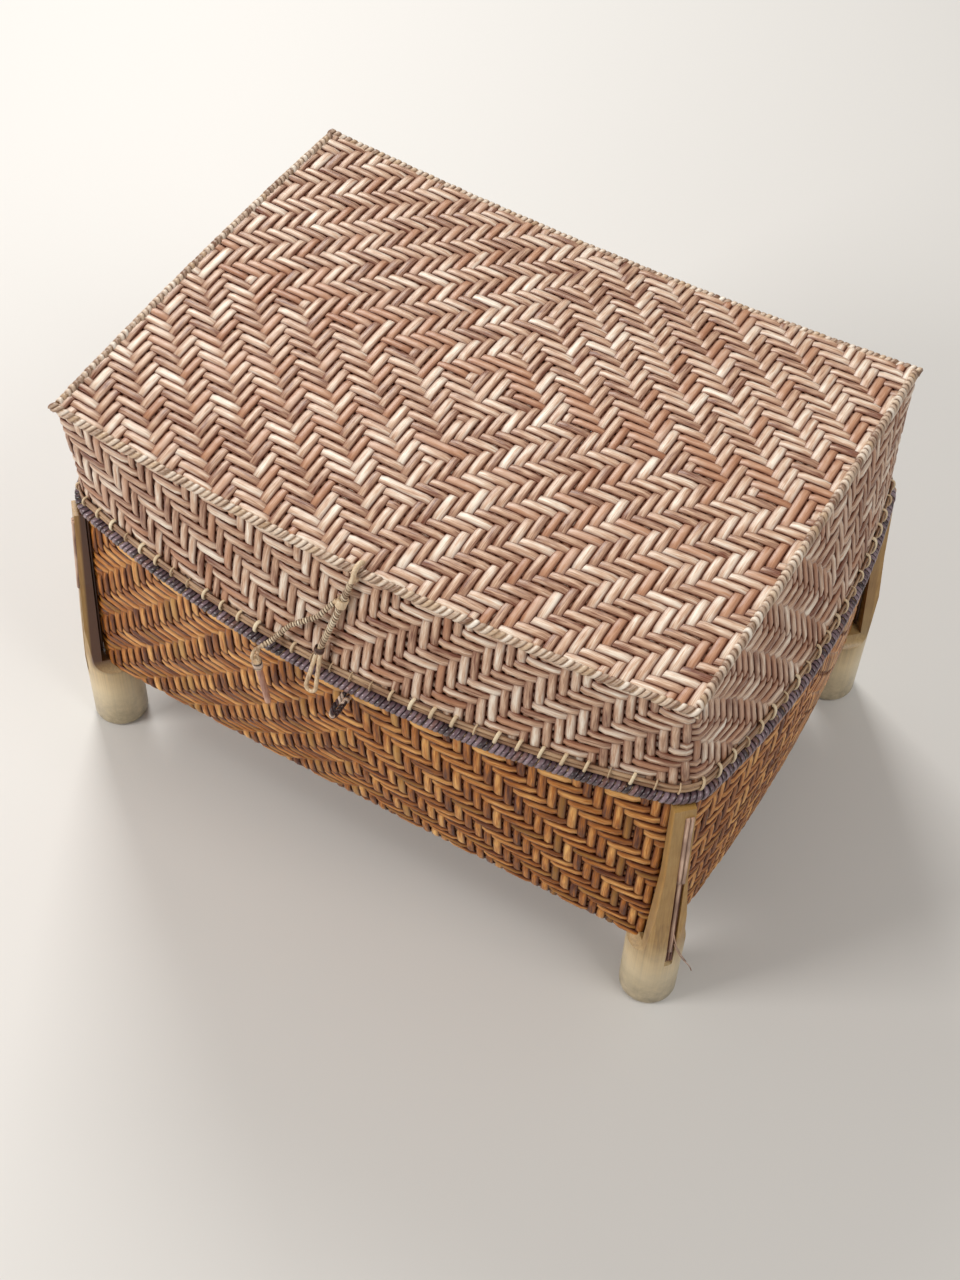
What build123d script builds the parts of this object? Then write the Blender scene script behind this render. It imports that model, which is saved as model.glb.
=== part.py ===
"""Woven cane box with a hinged lid, standing on four pole legs.

Millimetres. +X runs along the long side, -Y is the front with the hasp, +Z is up.
The origin is on the floor under the middle of the box.
"""

from build123d import *
from math import cos, hypot, radians, sin, sqrt
import os

os.makedirs("parts", exist_ok=True)

# Clearances
moving_gap = 0.35  # between round faces of pieces that move past each other
running_gap = 0.06  # radial, in a bore that turns on another piece
seat_gap = 0.1  # between pieces of one body that lie against each other
overrun = 12.0  # how far a cutting form runs past what it cuts
half_share = 0.5

# Basket: a woven tub whose rim bulges out from its four corners
base_bottom_height = 60.0
base_bottom_length = 446.0
base_bottom_width = 315.0
base_bottom_long_bulge = 1.0
base_bottom_short_bulge = 8.0
base_bottom_radius = 18.0
base_edge_radius = 10.0
base_wall = 4.5
base_side_bow = 4.0

# Rim: a round cane outside the wall and a flat one inside it, bound together
rim_height = 224.8
rim_length = 446.0
rim_width = 293.0
rim_long_bulge = 33.3
rim_short_bulge = 18.5
rim_corner_radius = 26.0
rim_cane_radius = 2.8
rim_strip_thickness = 2.0
rim_strip_half_height = 1.5
rim_binding_thickness = 0.9
rim_binding_edge_radius = 2.6

# Lid: a woven tray turned over, square at the top and bulged like the rim at its hem
lid_length = 440.0
lid_width = 314.0
lid_corner_height = 320.5
lid_wall = 4.5
lid_top_bulge = 3.0
lid_corner_radius = 4.0
lid_front_sag = 9.0
lid_back_sag = 18.0
lid_middle_sag = 6.0
lid_right_rise = 8.0
hem_height = 8.2
hem_band_thickness = 1.8
lid_rest_gap = 0.3

# Bound canes along the four top edges of the lid
edge_rod_radius = 2.3
edge_wrap_thickness = 1.1
edge_tuck = 1.4
cove_gap = 0.3

# Legs: poles whose upper ends are pared down to a tongue that runs up the corner
leg_spread_x = 436.0
leg_spread_y = 294.0
leg_radius = 19.2
leg_foot_rounding = 4.5
leg_shoulder_height = 64.0
leg_shoulder_rounding = 9.0
tongue_foot_height = 66.0
tongue_foot_width = 26.0
tongue_foot_thickness = 11.0
tongue_waist_height = 152.0
tongue_waist_width = 15.0
tongue_tip_width = 13.8
tongue_tip_thickness = 6.8
tongue_stand_off = 2.0
tongue_tip_drop = 0.5
slot_width = 5.6
slot_depth = 3.2
slot_foot_height = 52.0
slot_offset = 3.2
spline_proud = 0.8
spline_foot_height = 148.0
spline_top_height = 212.0
corner_share = 0.147  # of its radius, how far the rim's rounded corner lies inside the sharp one

# Cane ring hinges at the back
hinge_ring_place = 70.0
hinge_ring_radius = 1.6
hinge_axis_inset = 3.2
hinge_axis_rise = 0.2

# Hasp: a bound cane strap that hangs from the front edge and ends in an eye
hasp_place = 4.0
hasp_core_radius = 1.7
hasp_wrap_thickness = 0.7
hasp_wrap_start = 6.8
hasp_wrap_stop = 3.4
hasp_knee_off_lid = 4.4
hasp_knee_drop = 32.0
hasp_knee_shift = -8.0
hasp_foot_off_lid = 6.5
hasp_foot_drop = 61.0
hasp_foot_shift = -15.4
hasp_bend_radius = 26.0
eye_cane_radius = 1.4
eye_neck_width = 2.0
eye_foot_width = 7.4
eye_length = 32.0
eye_corner_radius = 3.2
eye_tilt = 18.5
eye_side_lean = 2.5
collar_thickness = 0.8
collar_length = 4.0

# Tether: a thin bound cane that turns on the strap and carries the peg
tether_cane_radius = 1.2
tether_wrap_thickness = 0.7
tether_wrap_stop = 4.0
tether_sleeve_thickness = 1.1
tether_sleeve_length = 6.0
tether_sleeve_drop = 22.5
tether_bend_radius = 12.0
tether_route = (  # the corners that its middle line goes round
    (-15.0, -177.8, 272.5),
    (-33.5, -181.8, 256.0),
    (-45.0, -186.3, 238.0),
)
link_middle = (-51.5, -194.6, 230.2)
link_radius = 3.5
link_cane_radius = 1.1

# Peg that locks the hasp, hung from the tether
peg_radius = 2.1
peg_length = 46.0
peg_end_rounding = 0.8
peg_loop_radius = 2.6
peg_loop_cane_radius = 0.8
peg_neck = 1.5
peg_sleeve_length = 7.0
peg_sleeve_thickness = 0.7
peg_lean_side = 3.0
peg_lean_back = 6.0

# Staple on the basket, which the eye drops over
staple_place = 6.5
staple_core_radius = 1.2
staple_wrap_thickness = 0.7
staple_reach = 19.5
staple_bend_radius = 4.6
staple_drop = 2.4


def between(low, high, share):
    return low + (high - low) * share


def outline(length, width, long_bulge, short_bulge, radius, height):
    """A rounded rectangle whose sides bulge, as a face at a height."""
    x, y = length / 2, width / 2
    with BuildSketch(Plane.XY.offset(height)) as sketch:
        with BuildLine():
            ThreePointArc((-x, -y), (0, -y - long_bulge), (x, -y))
            ThreePointArc((x, -y), (x + short_bulge, 0), (x, y))
            ThreePointArc((x, y), (0, y + long_bulge), (-x, y))
            ThreePointArc((-x, y), (-x - short_bulge, 0), (-x, -y))
        make_face()
        fillet(sketch.vertices(), radius)
    return sketch.sketch


def arc_depth(along, half_chord, bulge):
    """How far a bulged side stands out past its corners, at a distance from its middle."""
    radius = (half_chord**2 + bulge**2) / (2 * bulge)
    return bulge - radius + sqrt(radius**2 - along**2)


def tube(path, outer, inner=0.0):
    """A round cane along a path, or a sleeve when it has an inner radius."""
    profile = Plane(path @ 0, z_dir=path % 0) * Circle(outer)
    if inner:
        profile = profile - Plane(path @ 0, z_dir=path % 0) * Circle(inner)
    return sweep(profile, path=path)


def grown(shape, amount, height):
    """A face at a height whose edge runs beside an outline at a distance."""
    if not amount:
        return shape
    shifted = offset(shape, amount=amount)
    with BuildSketch() as sketch:
        with BuildLine():
            for edge in shifted.face().outer_wire().edges():
                points = [edge @ share for share in (0, half_share, 1)]
                ThreePointArc(*[(point.X, point.Y) for point in points])
        make_face()
    return sketch.sketch.moved(Location((0, 0, height)))


def ring_band(shape, inner, outer, low, high):
    """A band round an outline, between two distances from it and two heights."""
    outside = extrude(grown(shape, outer, low), high - low, dir=(0, 0, 1))
    inside = extrude(grown(shape, inner, low), high - low, dir=(0, 0, 1))
    return outside - inside


nodes = {}


def keep(name, shape):
    nodes[name] = shape


# The rim and what its heights are worked out from
rim_half_height = rim_cane_radius + rim_binding_thickness
rim_low = rim_height - rim_half_height
rim_top = rim_height + rim_half_height
rim_inner = base_wall + rim_strip_thickness + rim_binding_thickness + 2 * seat_gap
rim_outer = 2 * rim_cane_radius + rim_binding_thickness + 2 * seat_gap


def base_sizes(height, grow=0.0):
    """Length, width, the two bulges and the corner radius of the basket at a height."""
    up = (height - base_bottom_height) / (rim_low - base_bottom_height)
    bow = base_side_bow * 4 * up * (1 - up)
    return (
        between(base_bottom_length, rim_length, up) + 2 * grow,
        between(base_bottom_width, rim_width, up) + 2 * grow,
        between(base_bottom_long_bulge, rim_long_bulge, up) + bow,
        between(base_bottom_short_bulge, rim_short_bulge, up) + bow,
        between(base_bottom_radius, rim_corner_radius, up) + grow,
    )


def base_outline(height, grow=0.0):
    return outline(*base_sizes(height, grow), height)


def base_front(x, height, grow=0.0):
    """Y of the basket's outer face at the front."""
    length, width, bulge, _, _ = base_sizes(height, grow)
    return -width / 2 - arc_depth(x, length / 2, bulge)


def base_body(bottom, grow, edge_radius, top):
    """The solid that the basket's wall surrounds, upright above the underside of the rim."""
    middle = (base_bottom_height + rim_low) / 2
    rim_face = grown(base_outline(rim_low), grow, rim_low)
    form = loft([base_outline(bottom, grow), base_outline(middle, grow), rim_face])
    form = fillet(form.edges().group_by(Axis.Z)[0], edge_radius)
    return form + extrude(rim_face, top - rim_low)


rim_shape = base_outline(rim_low)
wall_top = rim_height + rim_cane_radius / 2

# Staple route, in the plane that stands square to the basket's front
staple_top = rim_low - staple_drop
staple_wall_y = base_front(staple_place, staple_top)


def staple_path():
    low = staple_top - 2 * staple_bend_radius
    root = staple_wall_y + base_wall
    nose = staple_wall_y - staple_reach + staple_bend_radius
    upper = Line((staple_place, root, staple_top), (staple_place, nose, staple_top))
    bend = ThreePointArc(
        (staple_place, nose, staple_top),
        (staple_place, nose - staple_bend_radius, staple_top - staple_bend_radius),
        (staple_place, nose, low),
    )
    lower = Line((staple_place, nose, low), (staple_place, root, low))
    return Wire([upper, bend, lower])


staple_outer_radius = staple_core_radius + staple_wrap_thickness
staple_route = staple_path()

# Hem of the lid, which comes down on the rim
lid_low = rim_top + lid_rest_gap
hem_top = lid_low + hem_height


def lid_sizes(height, grow=0.0):
    """Length, width, the two bulges and the corner radius of the lid at a height."""
    up = (height - hem_top) / (lid_corner_height - hem_top)
    return (
        between(rim_length, lid_length, up) + 2 * grow,
        between(rim_width, lid_width, up) + 2 * grow,
        between(rim_long_bulge, lid_top_bulge, up),
        between(rim_short_bulge, lid_top_bulge, up),
        max(between(rim_corner_radius, lid_corner_radius, up) + grow, lid_corner_radius / 2),
    )


def lid_outline(height, grow=0.0):
    return outline(*lid_sizes(height, grow), height)


def lid_front(x, height):
    """Y of the lid's outer face at the front, for heights above the hem."""
    length, width, bulge, _, _ = lid_sizes(max(height, hem_top))
    return -width / 2 - arc_depth(x, length / 2, bulge)


def lid_form(low, grow):
    """The solid inside the lid's walls, from a height up past its top."""
    hem_face = grown(lid_outline(hem_top), grow, hem_top)
    shoulder_face = lid_outline(lid_corner_height, grow)
    hem = extrude(hem_face, hem_top - low, dir=(0, 0, -1))
    sides = loft([hem_face, shoulder_face], ruled=True)
    head = extrude(shoulder_face, lid_right_rise + overrun)
    return hem + sides + head


def crown_cut(drop):
    """What lies above the lid's top, whose long edges sag and whose right edge rises."""
    half = lid_length / 2
    ceiling = lid_corner_height + lid_right_rise + 3 * overrun
    reach = lid_width / 2 + overrun
    rows = (
        (-reach, lid_front_sag, 0),
        (0, lid_middle_sag, lid_right_rise),
        (reach, lid_back_sag, 0),
    )
    faces = []
    for y, sag, rise in rows:
        left = lid_corner_height - drop
        right = left + rise
        middle = (left + right) / 2 - sag
        with BuildSketch(Plane.XZ.offset(-y)) as sketch:
            with BuildLine():
                ThreePointArc((-half, left), (0, middle), (half, right))
                Polyline(
                    (half, right),
                    (half + 2 * overrun, right),
                    (half + 2 * overrun, ceiling),
                    (-half - 2 * overrun, ceiling),
                    (-half - 2 * overrun, left),
                    (-half, left),
                )
            make_face()
        faces.append(sketch.sketch)
    return loft(faces)


# The four top edges of the lid, as the middle lines of their bound canes
edge_wrap_radius = edge_rod_radius + edge_wrap_thickness
edge_x = lid_length / 2 - edge_tuck
edge_y = lid_width / 2 - edge_tuck
edge_z = lid_corner_height - edge_tuck
edge_ear = edge_wrap_radius / 2


def long_edge(side, sag):
    """Side is -1 at the front and 1 at the back."""
    middle_y = edge_y + arc_depth(0, lid_length / 2, lid_sizes(lid_corner_height - sag)[2])
    end = edge_x + edge_ear
    return ThreePointArc(
        (-end, side * edge_y, edge_z), (0, side * middle_y, edge_z - sag), (end, side * edge_y, edge_z)
    )


def short_edge(side, rise):
    """Side is -1 at the left and 1 at the right, and the ends butt against the long edges."""
    x = side * edge_x
    out = side * (edge_x + lid_top_bulge)
    end = edge_y - edge_wrap_radius - seat_gap
    return ThreePointArc((x, -end, edge_z), (out, 0, edge_z + rise), (x, end, edge_z))


edge_paths = {
    "front": long_edge(-1, lid_front_sag),
    "back": long_edge(1, lid_back_sag),
    "left": short_edge(-1, 0),
    "right": short_edge(1, lid_right_rise),
}

# Hinge axis, just outside the rim's crown at the back
hinge_y = rim_width / 2 + rim_long_bulge + rim_outer - hinge_axis_inset
hinge_z = rim_top + hinge_axis_rise


def hinge_loop_radius():
    """Mean radius of a ring that clears the rim and the hem it holds together."""
    wall_y = -base_front(hinge_ring_place, rim_low)
    rim_corner = hypot(hinge_y - (wall_y - rim_inner), hinge_z - rim_low)
    hem_in = lid_wall + hem_band_thickness + 2 * seat_gap
    hem_y = -lid_front(hinge_ring_place, hem_top)
    hem_corner = hypot(hinge_y - (hem_y - hem_in), hem_top - hinge_z)
    return max(rim_corner, hem_corner) + moving_gap + hinge_ring_radius


hinge_loop = hinge_loop_radius()


def hinge_ring(side, radius):
    centre = Plane((side * hinge_ring_place, hinge_y, hinge_z), z_dir=(1, 0, 0))
    return centre * Torus(hinge_loop, radius)


# Pivot of the hasp, on the bound cane of the front edge
hasp_outer_radius = hasp_core_radius + hasp_wrap_thickness
hasp_turn = edge_wrap_radius + moving_gap + hasp_core_radius
hasp_pivot = edge_paths["front"] @ (between(0, 1, (hasp_place / edge_x + 1) / 2))
hasp_plane = Plane(hasp_pivot, z_dir=(1, 0, 0))


def hasp_ring(radius):
    return hasp_plane * Torus(hasp_turn, radius)


def on_lid(shift, drop, off):
    """A point that stands off the lid's front face, placed from the hasp's pivot."""
    x = hasp_pivot.X + shift
    height = hasp_pivot.Z - drop
    return Vector(x, lid_front(x, height) - off, height)


strap_top = hasp_pivot - Vector(0, hasp_turn, 0)
strap_knee = on_lid(hasp_knee_shift, hasp_knee_drop, hasp_knee_off_lid)
strap_foot = on_lid(hasp_foot_shift, hasp_foot_drop, hasp_foot_off_lid)
upper_run = (strap_knee - strap_top).normalized()
lower_run = (strap_foot - strap_knee).normalized()
strap_path = FilletPolyline(strap_top, strap_knee, strap_foot, radius=hasp_bend_radius)
wrap_path = FilletPolyline(
    strap_top + upper_run * hasp_wrap_start,
    strap_knee,
    strap_foot - lower_run * hasp_wrap_stop,
    radius=hasp_bend_radius,
)

# Eye: a long loop that widens downwards and hangs past the rim
eye_down = Vector(
    -sin(radians(eye_side_lean)),
    -sin(radians(eye_tilt)) * cos(radians(eye_side_lean)),
    -cos(radians(eye_tilt)) * cos(radians(eye_side_lean)),
)
eye_across = eye_down.cross(Vector(0, 1, 0)).normalized()


def eye_point(across, along):
    return strap_foot + eye_across * across + eye_down * along


eye_route = (
    eye_point(-eye_neck_width / 2, 0),
    eye_point(-eye_foot_width / 2, eye_length),
    eye_point(eye_foot_width / 2, eye_length),
    eye_point(eye_neck_width / 2, 0),
)
eye_path = FilletPolyline(*eye_route, radius=eye_corner_radius)

# Tether and its sleeve on the strap
tether_outer_radius = tether_cane_radius + tether_wrap_thickness
sleeve_middle = strap_top + upper_run * tether_sleeve_drop
sleeve_bore = hasp_outer_radius + running_gap
sleeve_radius = sleeve_bore + tether_sleeve_thickness
tether_start = sleeve_middle - Vector(sleeve_bore + tether_cane_radius, 0, 0)
link_centre = Vector(*link_middle)
link_run = link_centre - Vector(*tether_route[-1])
link_toward = Vector(0, -link_run.Y, -link_run.Z).normalized()
tether_end = link_centre + link_toward * link_radius
tether_path = FilletPolyline(tether_start, *tether_route, tether_end, radius=tether_bend_radius)
tether_in = (Vector(*tether_route[0]) - tether_start).normalized()
tether_out = (tether_end - Vector(*tether_route[-1])).normalized()
tether_wrap_path = FilletPolyline(
    tether_start + tether_in * tether_wrap_stop,
    *tether_route,
    tether_end - tether_out * tether_wrap_stop,
    radius=tether_bend_radius,
)

# Peg, whose loop turns on the lowest part of the tether's ring
peg_pivot = link_centre - Vector(0, 0, link_radius)
peg_loop_hole = peg_loop_radius - peg_loop_cane_radius
peg_down = Vector(
    sin(radians(peg_lean_side)),
    sin(radians(peg_lean_back)) * cos(radians(peg_lean_side)),
    -cos(radians(peg_lean_back)) * cos(radians(peg_lean_side)),
)
peg_loop_middle = peg_pivot + peg_down * (peg_loop_hole - link_cane_radius - moving_gap)
peg_neck_top = peg_loop_middle + peg_down * peg_loop_radius
peg_top = peg_neck_top + peg_down * peg_neck
peg_sleeve_bore = peg_radius + running_gap
peg_sleeve_radius = peg_sleeve_bore + peg_sleeve_thickness

# Basket
opening_top = wall_top + overrun
base_outer = base_body(base_bottom_height, 0, base_edge_radius, wall_top)
base_inner = base_body(
    base_bottom_height + base_wall, -base_wall, base_edge_radius - base_wall, opening_top
)
base_weave = base_outer - base_inner
for side in (-1, 1):
    base_weave -= hinge_ring(side, hinge_ring_radius + seat_gap)
base_weave -= tube(staple_route, staple_outer_radius + seat_gap)
keep("base_weave", base_weave)

# Rim of the basket
cane_line = rim_cane_radius + seat_gap
cane_path = grown(rim_shape, cane_line, rim_height).face().outer_wire()
keep("rim_cane", tube(cane_path, rim_cane_radius))
strip_out = -base_wall - seat_gap
strip_in = strip_out - rim_strip_thickness
keep(
    "rim_strip",
    ring_band(
        rim_shape,
        strip_in,
        strip_out,
        rim_height - rim_strip_half_height,
        rim_height + rim_strip_half_height,
    ),
)
binding = ring_band(rim_shape, -rim_inner, rim_outer, rim_low, rim_top)
binding = fillet(binding.edges().group_by(Axis.Z)[-1], rim_binding_edge_radius)
binding = fillet(binding.edges().group_by(Axis.Z)[0], rim_binding_edge_radius)
hollow = ring_band(
    rim_shape,
    strip_in - seat_gap,
    2 * rim_cane_radius + 2 * seat_gap,
    rim_low + rim_binding_thickness - seat_gap,
    rim_top - rim_binding_thickness + seat_gap,
)
hollow = fillet(hollow.edges().group_by(Axis.Z)[-1], rim_binding_edge_radius - rim_binding_thickness)
slot = ring_band(rim_shape, strip_out, seat_gap, rim_low - overrun, rim_height)
keep("rim_binding", binding - hollow - slot)

# Staple
keep("staple_core", tube(staple_route, staple_core_radius))
keep("staple_wrap", tube(staple_route, staple_outer_radius, staple_core_radius + seat_gap))

# Lid
lid_outer = lid_form(lid_low, 0) - crown_cut(0)
lid_inner = lid_form(lid_low - overrun, -lid_wall) - crown_cut(lid_wall)
lid_weave = lid_outer - lid_inner
for path in edge_paths.values():
    lid_weave -= tube(path, edge_wrap_radius + cove_gap)
for side in (-1, 1):
    lid_weave -= hinge_ring(side, hinge_ring_radius + moving_gap)
lid_weave -= hasp_ring(hasp_core_radius + moving_gap)
keep("lid_weave", lid_weave)

# Hem of the lid
hem_shape = lid_outline(hem_top)
keep(
    "hem_band_outer",
    ring_band(hem_shape, seat_gap, seat_gap + hem_band_thickness, lid_low, hem_top),
)
hem_inside = -lid_wall - seat_gap
keep(
    "hem_band_inner",
    ring_band(hem_shape, hem_inside - hem_band_thickness, hem_inside, lid_low, hem_top),
)

# Bound canes along the top edges of the lid
for end, path in edge_paths.items():
    keep(f"lid_edge_rod_{end}", tube(path, edge_rod_radius))
    keep(f"lid_edge_wrap_{end}", tube(path, edge_wrap_radius, edge_rod_radius + seat_gap))

# Hinge rings
for side, word in ((-1, "left"), (1, "right")):
    keep(f"hinge_ring_{word}", hinge_ring(side, hinge_ring_radius))

# Hasp
hasp_core = hasp_ring(hasp_core_radius) + tube(strap_path, hasp_core_radius) + tube(eye_path, eye_cane_radius)
keep("hasp_core", hasp_core)
keep("hasp_wrap", tube(wrap_path, hasp_outer_radius, hasp_core_radius + seat_gap))
collar_bore = eye_neck_width / 2 + eye_cane_radius + 4 * seat_gap
collar_ring = Circle(collar_bore + collar_thickness) - Circle(collar_bore)
collar_base = Plane(strap_foot - eye_down * collar_length / 2, z_dir=eye_down)
keep("hasp_collar", extrude(collar_base * collar_ring, collar_length, dir=eye_down))

# Tether
sleeve_ring = Circle(sleeve_radius) - Circle(sleeve_bore)
sleeve_base = Plane(sleeve_middle - upper_run * tether_sleeve_length / 2, z_dir=upper_run)
tether_sleeve = extrude(sleeve_base * sleeve_ring, tether_sleeve_length, dir=upper_run)
tether_link = Plane(link_centre, z_dir=(1, 0, 0)) * Torus(link_radius, link_cane_radius)
keep("tether_core", tether_sleeve + tube(tether_path, tether_cane_radius) + tether_link)
keep("tether_wrap", tube(tether_wrap_path, tether_outer_radius, tether_cane_radius + seat_gap))

# Peg
peg_plane = Plane(peg_top, z_dir=peg_down)
peg_rod = extrude(peg_plane * Circle(peg_radius), peg_length, dir=peg_down)
peg_rod = fillet(peg_rod.edges(), peg_end_rounding)
keep("peg_rod", peg_rod)
loop_plane = Plane(peg_loop_middle, x_dir=Vector(1, 0, 0), z_dir=Vector(1, 0, 0).cross(peg_down))
peg_loop = loop_plane * Torus(peg_loop_radius, peg_loop_cane_radius)
neck_plane = Plane(peg_neck_top, z_dir=peg_down)
cap_height = peg_neck - running_gap - peg_loop_cane_radius / 2
cap_plane = Plane(peg_neck_top + peg_down * (peg_loop_cane_radius / 2), z_dir=peg_down)
peg_loop += extrude(cap_plane * Circle(peg_sleeve_radius), cap_height, dir=peg_down)
sleeve_low = Plane(peg_top - peg_down * running_gap, z_dir=peg_down)
peg_sleeve_ring = Circle(peg_sleeve_radius) - Circle(peg_sleeve_bore)
peg_loop += extrude(sleeve_low * peg_sleeve_ring, peg_sleeve_length, dir=peg_down)
keep("peg_loop", peg_loop)

# Legs
tongue_top = rim_low - tongue_tip_drop
base_void = base_body(base_bottom_height - seat_gap, seat_gap, base_edge_radius, rim_top)


def leg_frame(side_x, side_y):
    """The leg's middle, its outward diagonal and the direction across that."""
    middle = Vector(side_x * leg_spread_x / 2, side_y * leg_spread_y / 2, 0)
    out = Vector(side_x, side_y, 0).normalized()
    across = Vector(-out.Y, out.X, 0)
    return middle, out, across


def outer_line(inset):
    """The leg's outer face seen from its side, as two points above the foot."""
    length, width, _, _, radius = base_sizes(rim_low)
    corner_x = length / 2 - leg_spread_x / 2
    corner_y = width / 2 - leg_spread_y / 2
    wall = (corner_x + corner_y) / 2 * sqrt(2) - radius * corner_share
    tip = wall + tongue_stand_off + tongue_tip_thickness
    return (leg_radius - inset, tongue_foot_height), (tip - inset, tongue_top)


def side_keeper(inset):
    (foot_out, foot_up), (tip_out, tip_up) = outer_line(inset)
    back = -leg_radius - overrun
    return Polyline(
        (back, -overrun),
        (foot_out, -overrun),
        (foot_out, foot_up),
        (tip_out, tip_up),
        (back, tip_up),
        close=True,
    )


def slab_keeper():
    """The leg seen from its side: a whole pole up to its shoulder, and a slab above that."""
    (foot_out, foot_up), (tip_out, tip_up) = outer_line(0)
    back = -leg_radius - overrun
    root = leg_shoulder_height + leg_shoulder_rounding
    return Polyline(
        (back, -overrun),
        (foot_out, -overrun),
        (foot_out, foot_up),
        (tip_out, tip_up),
        (tip_out - tongue_tip_thickness, tip_up),
        (foot_out - tongue_foot_thickness, root),
        (back, root),
        close=True,
    )


def leg_pieces(side_x, side_y):
    middle, out, across = leg_frame(side_x, side_y)
    pole = extrude(Plane(middle) * Circle(leg_radius), tongue_top)
    pole = fillet(pole.edges().group_by(Axis.Z)[0], leg_foot_rounding)
    face_on = Plane(middle, x_dir=across, z_dir=out)
    side_on = Plane(middle, x_dir=out, z_dir=out.cross(Vector(0, 0, 1)))
    half_foot = tongue_foot_width / 2
    half_waist = tongue_waist_width / 2
    half_tip = tongue_tip_width / 2
    wide = leg_radius + overrun
    with BuildSketch() as front:
        with BuildLine():
            Polyline((0, -overrun), (wide, -overrun), (wide, leg_shoulder_height))
            Line((wide, leg_shoulder_height), (half_foot + leg_shoulder_rounding, leg_shoulder_height))
            TangentArc(
                (half_foot + leg_shoulder_rounding, leg_shoulder_height),
                (half_foot, leg_shoulder_height + leg_shoulder_rounding),
                tangent=(-1, 0),
            )
            Polyline(
                (half_foot, leg_shoulder_height + leg_shoulder_rounding),
                (half_waist, tongue_waist_height),
                (half_tip, tongue_top),
                (0, tongue_top),
                (0, -overrun),
            )
        make_face()
        mirror(about=Plane.YZ)
    with BuildSketch() as slab:
        with BuildLine():
            add(slab_keeper())
        make_face()
    with BuildSketch() as side:
        with BuildLine():
            add(side_keeper(0))
        make_face()
    with BuildSketch() as shallow:
        with BuildLine():
            add(side_keeper(slot_depth))
        make_face()
    with BuildSketch() as spline_back:
        with BuildLine():
            add(side_keeper(slot_depth - seat_gap))
        make_face()
    with BuildSketch() as spline_front:
        with BuildLine():
            add(side_keeper(-spline_proud))
        make_face()
    reach = leg_radius + 2 * overrun
    width_keeper = extrude(face_on * front.sketch, reach, both=True)
    depth_keeper = extrude(side_on * slab.sketch, reach, both=True)
    leg = pole & width_keeper & depth_keeper
    leg -= base_void
    slot_middle = middle + across * slot_offset
    slot_plane = Plane(slot_middle, x_dir=out, z_dir=out.cross(Vector(0, 0, 1)))
    slot_solid = extrude(slot_plane * side.sketch, slot_width / 2, both=True)
    slot_solid -= extrude(slot_plane * shallow.sketch, slot_width, both=True)
    slot_block = Pos(slot_middle) * Box(
        4 * reach, 4 * reach, spline_top_height - slot_foot_height, align=(Align.CENTER, Align.CENTER, Align.MIN)
    )
    slot_block = slot_block.moved(Location((0, 0, slot_foot_height)))
    leg -= slot_solid & slot_block
    spline = extrude(slot_plane * spline_front.sketch, slot_width / 2 - seat_gap, both=True)
    spline -= extrude(slot_plane * spline_back.sketch, slot_width, both=True)
    spline_block = Pos(slot_middle) * Box(
        4 * reach, 4 * reach, spline_top_height - spline_foot_height, align=(Align.CENTER, Align.CENTER, Align.MIN)
    )
    spline_block = spline_block.moved(Location((0, 0, spline_foot_height - seat_gap)))
    return leg, spline & spline_block


for side_x, word_x in ((-1, "left"), (1, "right")):
    for side_y, word_y in ((-1, "front"), (1, "back")):
        leg, spline = leg_pieces(side_x, side_y)
        keep(f"leg_{word_y}_{word_x}", leg)
        keep(f"leg_spline_{word_y}_{word_x}", spline)

for name, shape in nodes.items():
    export_step(shape, f"parts/{name}.step")
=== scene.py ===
"""Woven cane box with a hinged lid, on four pole legs: its looks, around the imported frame.

The frame is in metres. Outlines and routes are worked out in millimetres, and their meshes turn them to metres.
"""

import math

import bpy
import numpy as np
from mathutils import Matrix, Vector


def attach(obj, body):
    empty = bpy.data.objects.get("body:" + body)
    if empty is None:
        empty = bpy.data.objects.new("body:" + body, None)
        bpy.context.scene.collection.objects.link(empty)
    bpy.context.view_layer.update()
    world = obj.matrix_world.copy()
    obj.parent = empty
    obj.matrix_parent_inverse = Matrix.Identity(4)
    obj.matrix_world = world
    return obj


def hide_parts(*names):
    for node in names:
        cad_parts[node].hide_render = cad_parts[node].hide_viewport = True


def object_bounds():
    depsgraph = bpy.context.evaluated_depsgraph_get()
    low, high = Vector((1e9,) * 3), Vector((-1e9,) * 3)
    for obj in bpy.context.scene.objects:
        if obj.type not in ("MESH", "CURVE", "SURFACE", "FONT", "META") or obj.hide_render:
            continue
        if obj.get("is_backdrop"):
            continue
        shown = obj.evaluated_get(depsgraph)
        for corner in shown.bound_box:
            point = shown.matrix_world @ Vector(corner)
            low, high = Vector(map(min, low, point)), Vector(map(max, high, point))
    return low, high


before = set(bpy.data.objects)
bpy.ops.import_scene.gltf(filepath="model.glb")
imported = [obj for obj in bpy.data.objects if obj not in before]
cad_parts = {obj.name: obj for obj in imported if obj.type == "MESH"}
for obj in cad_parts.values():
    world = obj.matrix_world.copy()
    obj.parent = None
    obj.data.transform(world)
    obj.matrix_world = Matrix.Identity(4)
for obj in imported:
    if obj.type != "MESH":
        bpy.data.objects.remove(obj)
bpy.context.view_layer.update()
scene = bpy.context.scene

# Camera: where the photograph was taken from, above the box's front right corner,
# turned and tilted until the four corners of the lid fall where they do there
eye = bpy.data.cameras.new("camera")
eye.sensor_width = 36
eye.lens = 56.99
eye.clip_start = 0.05
camera = bpy.data.objects.new("camera", eye)
camera.location = (0.423217, -0.788057, 1.216193)
camera.rotation_euler = [math.radians(a) for a in (37.815, -1.639, 30.398)]
scene.collection.objects.link(camera)
scene.camera = camera
scene.view_settings.view_transform = "Standard"


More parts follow.
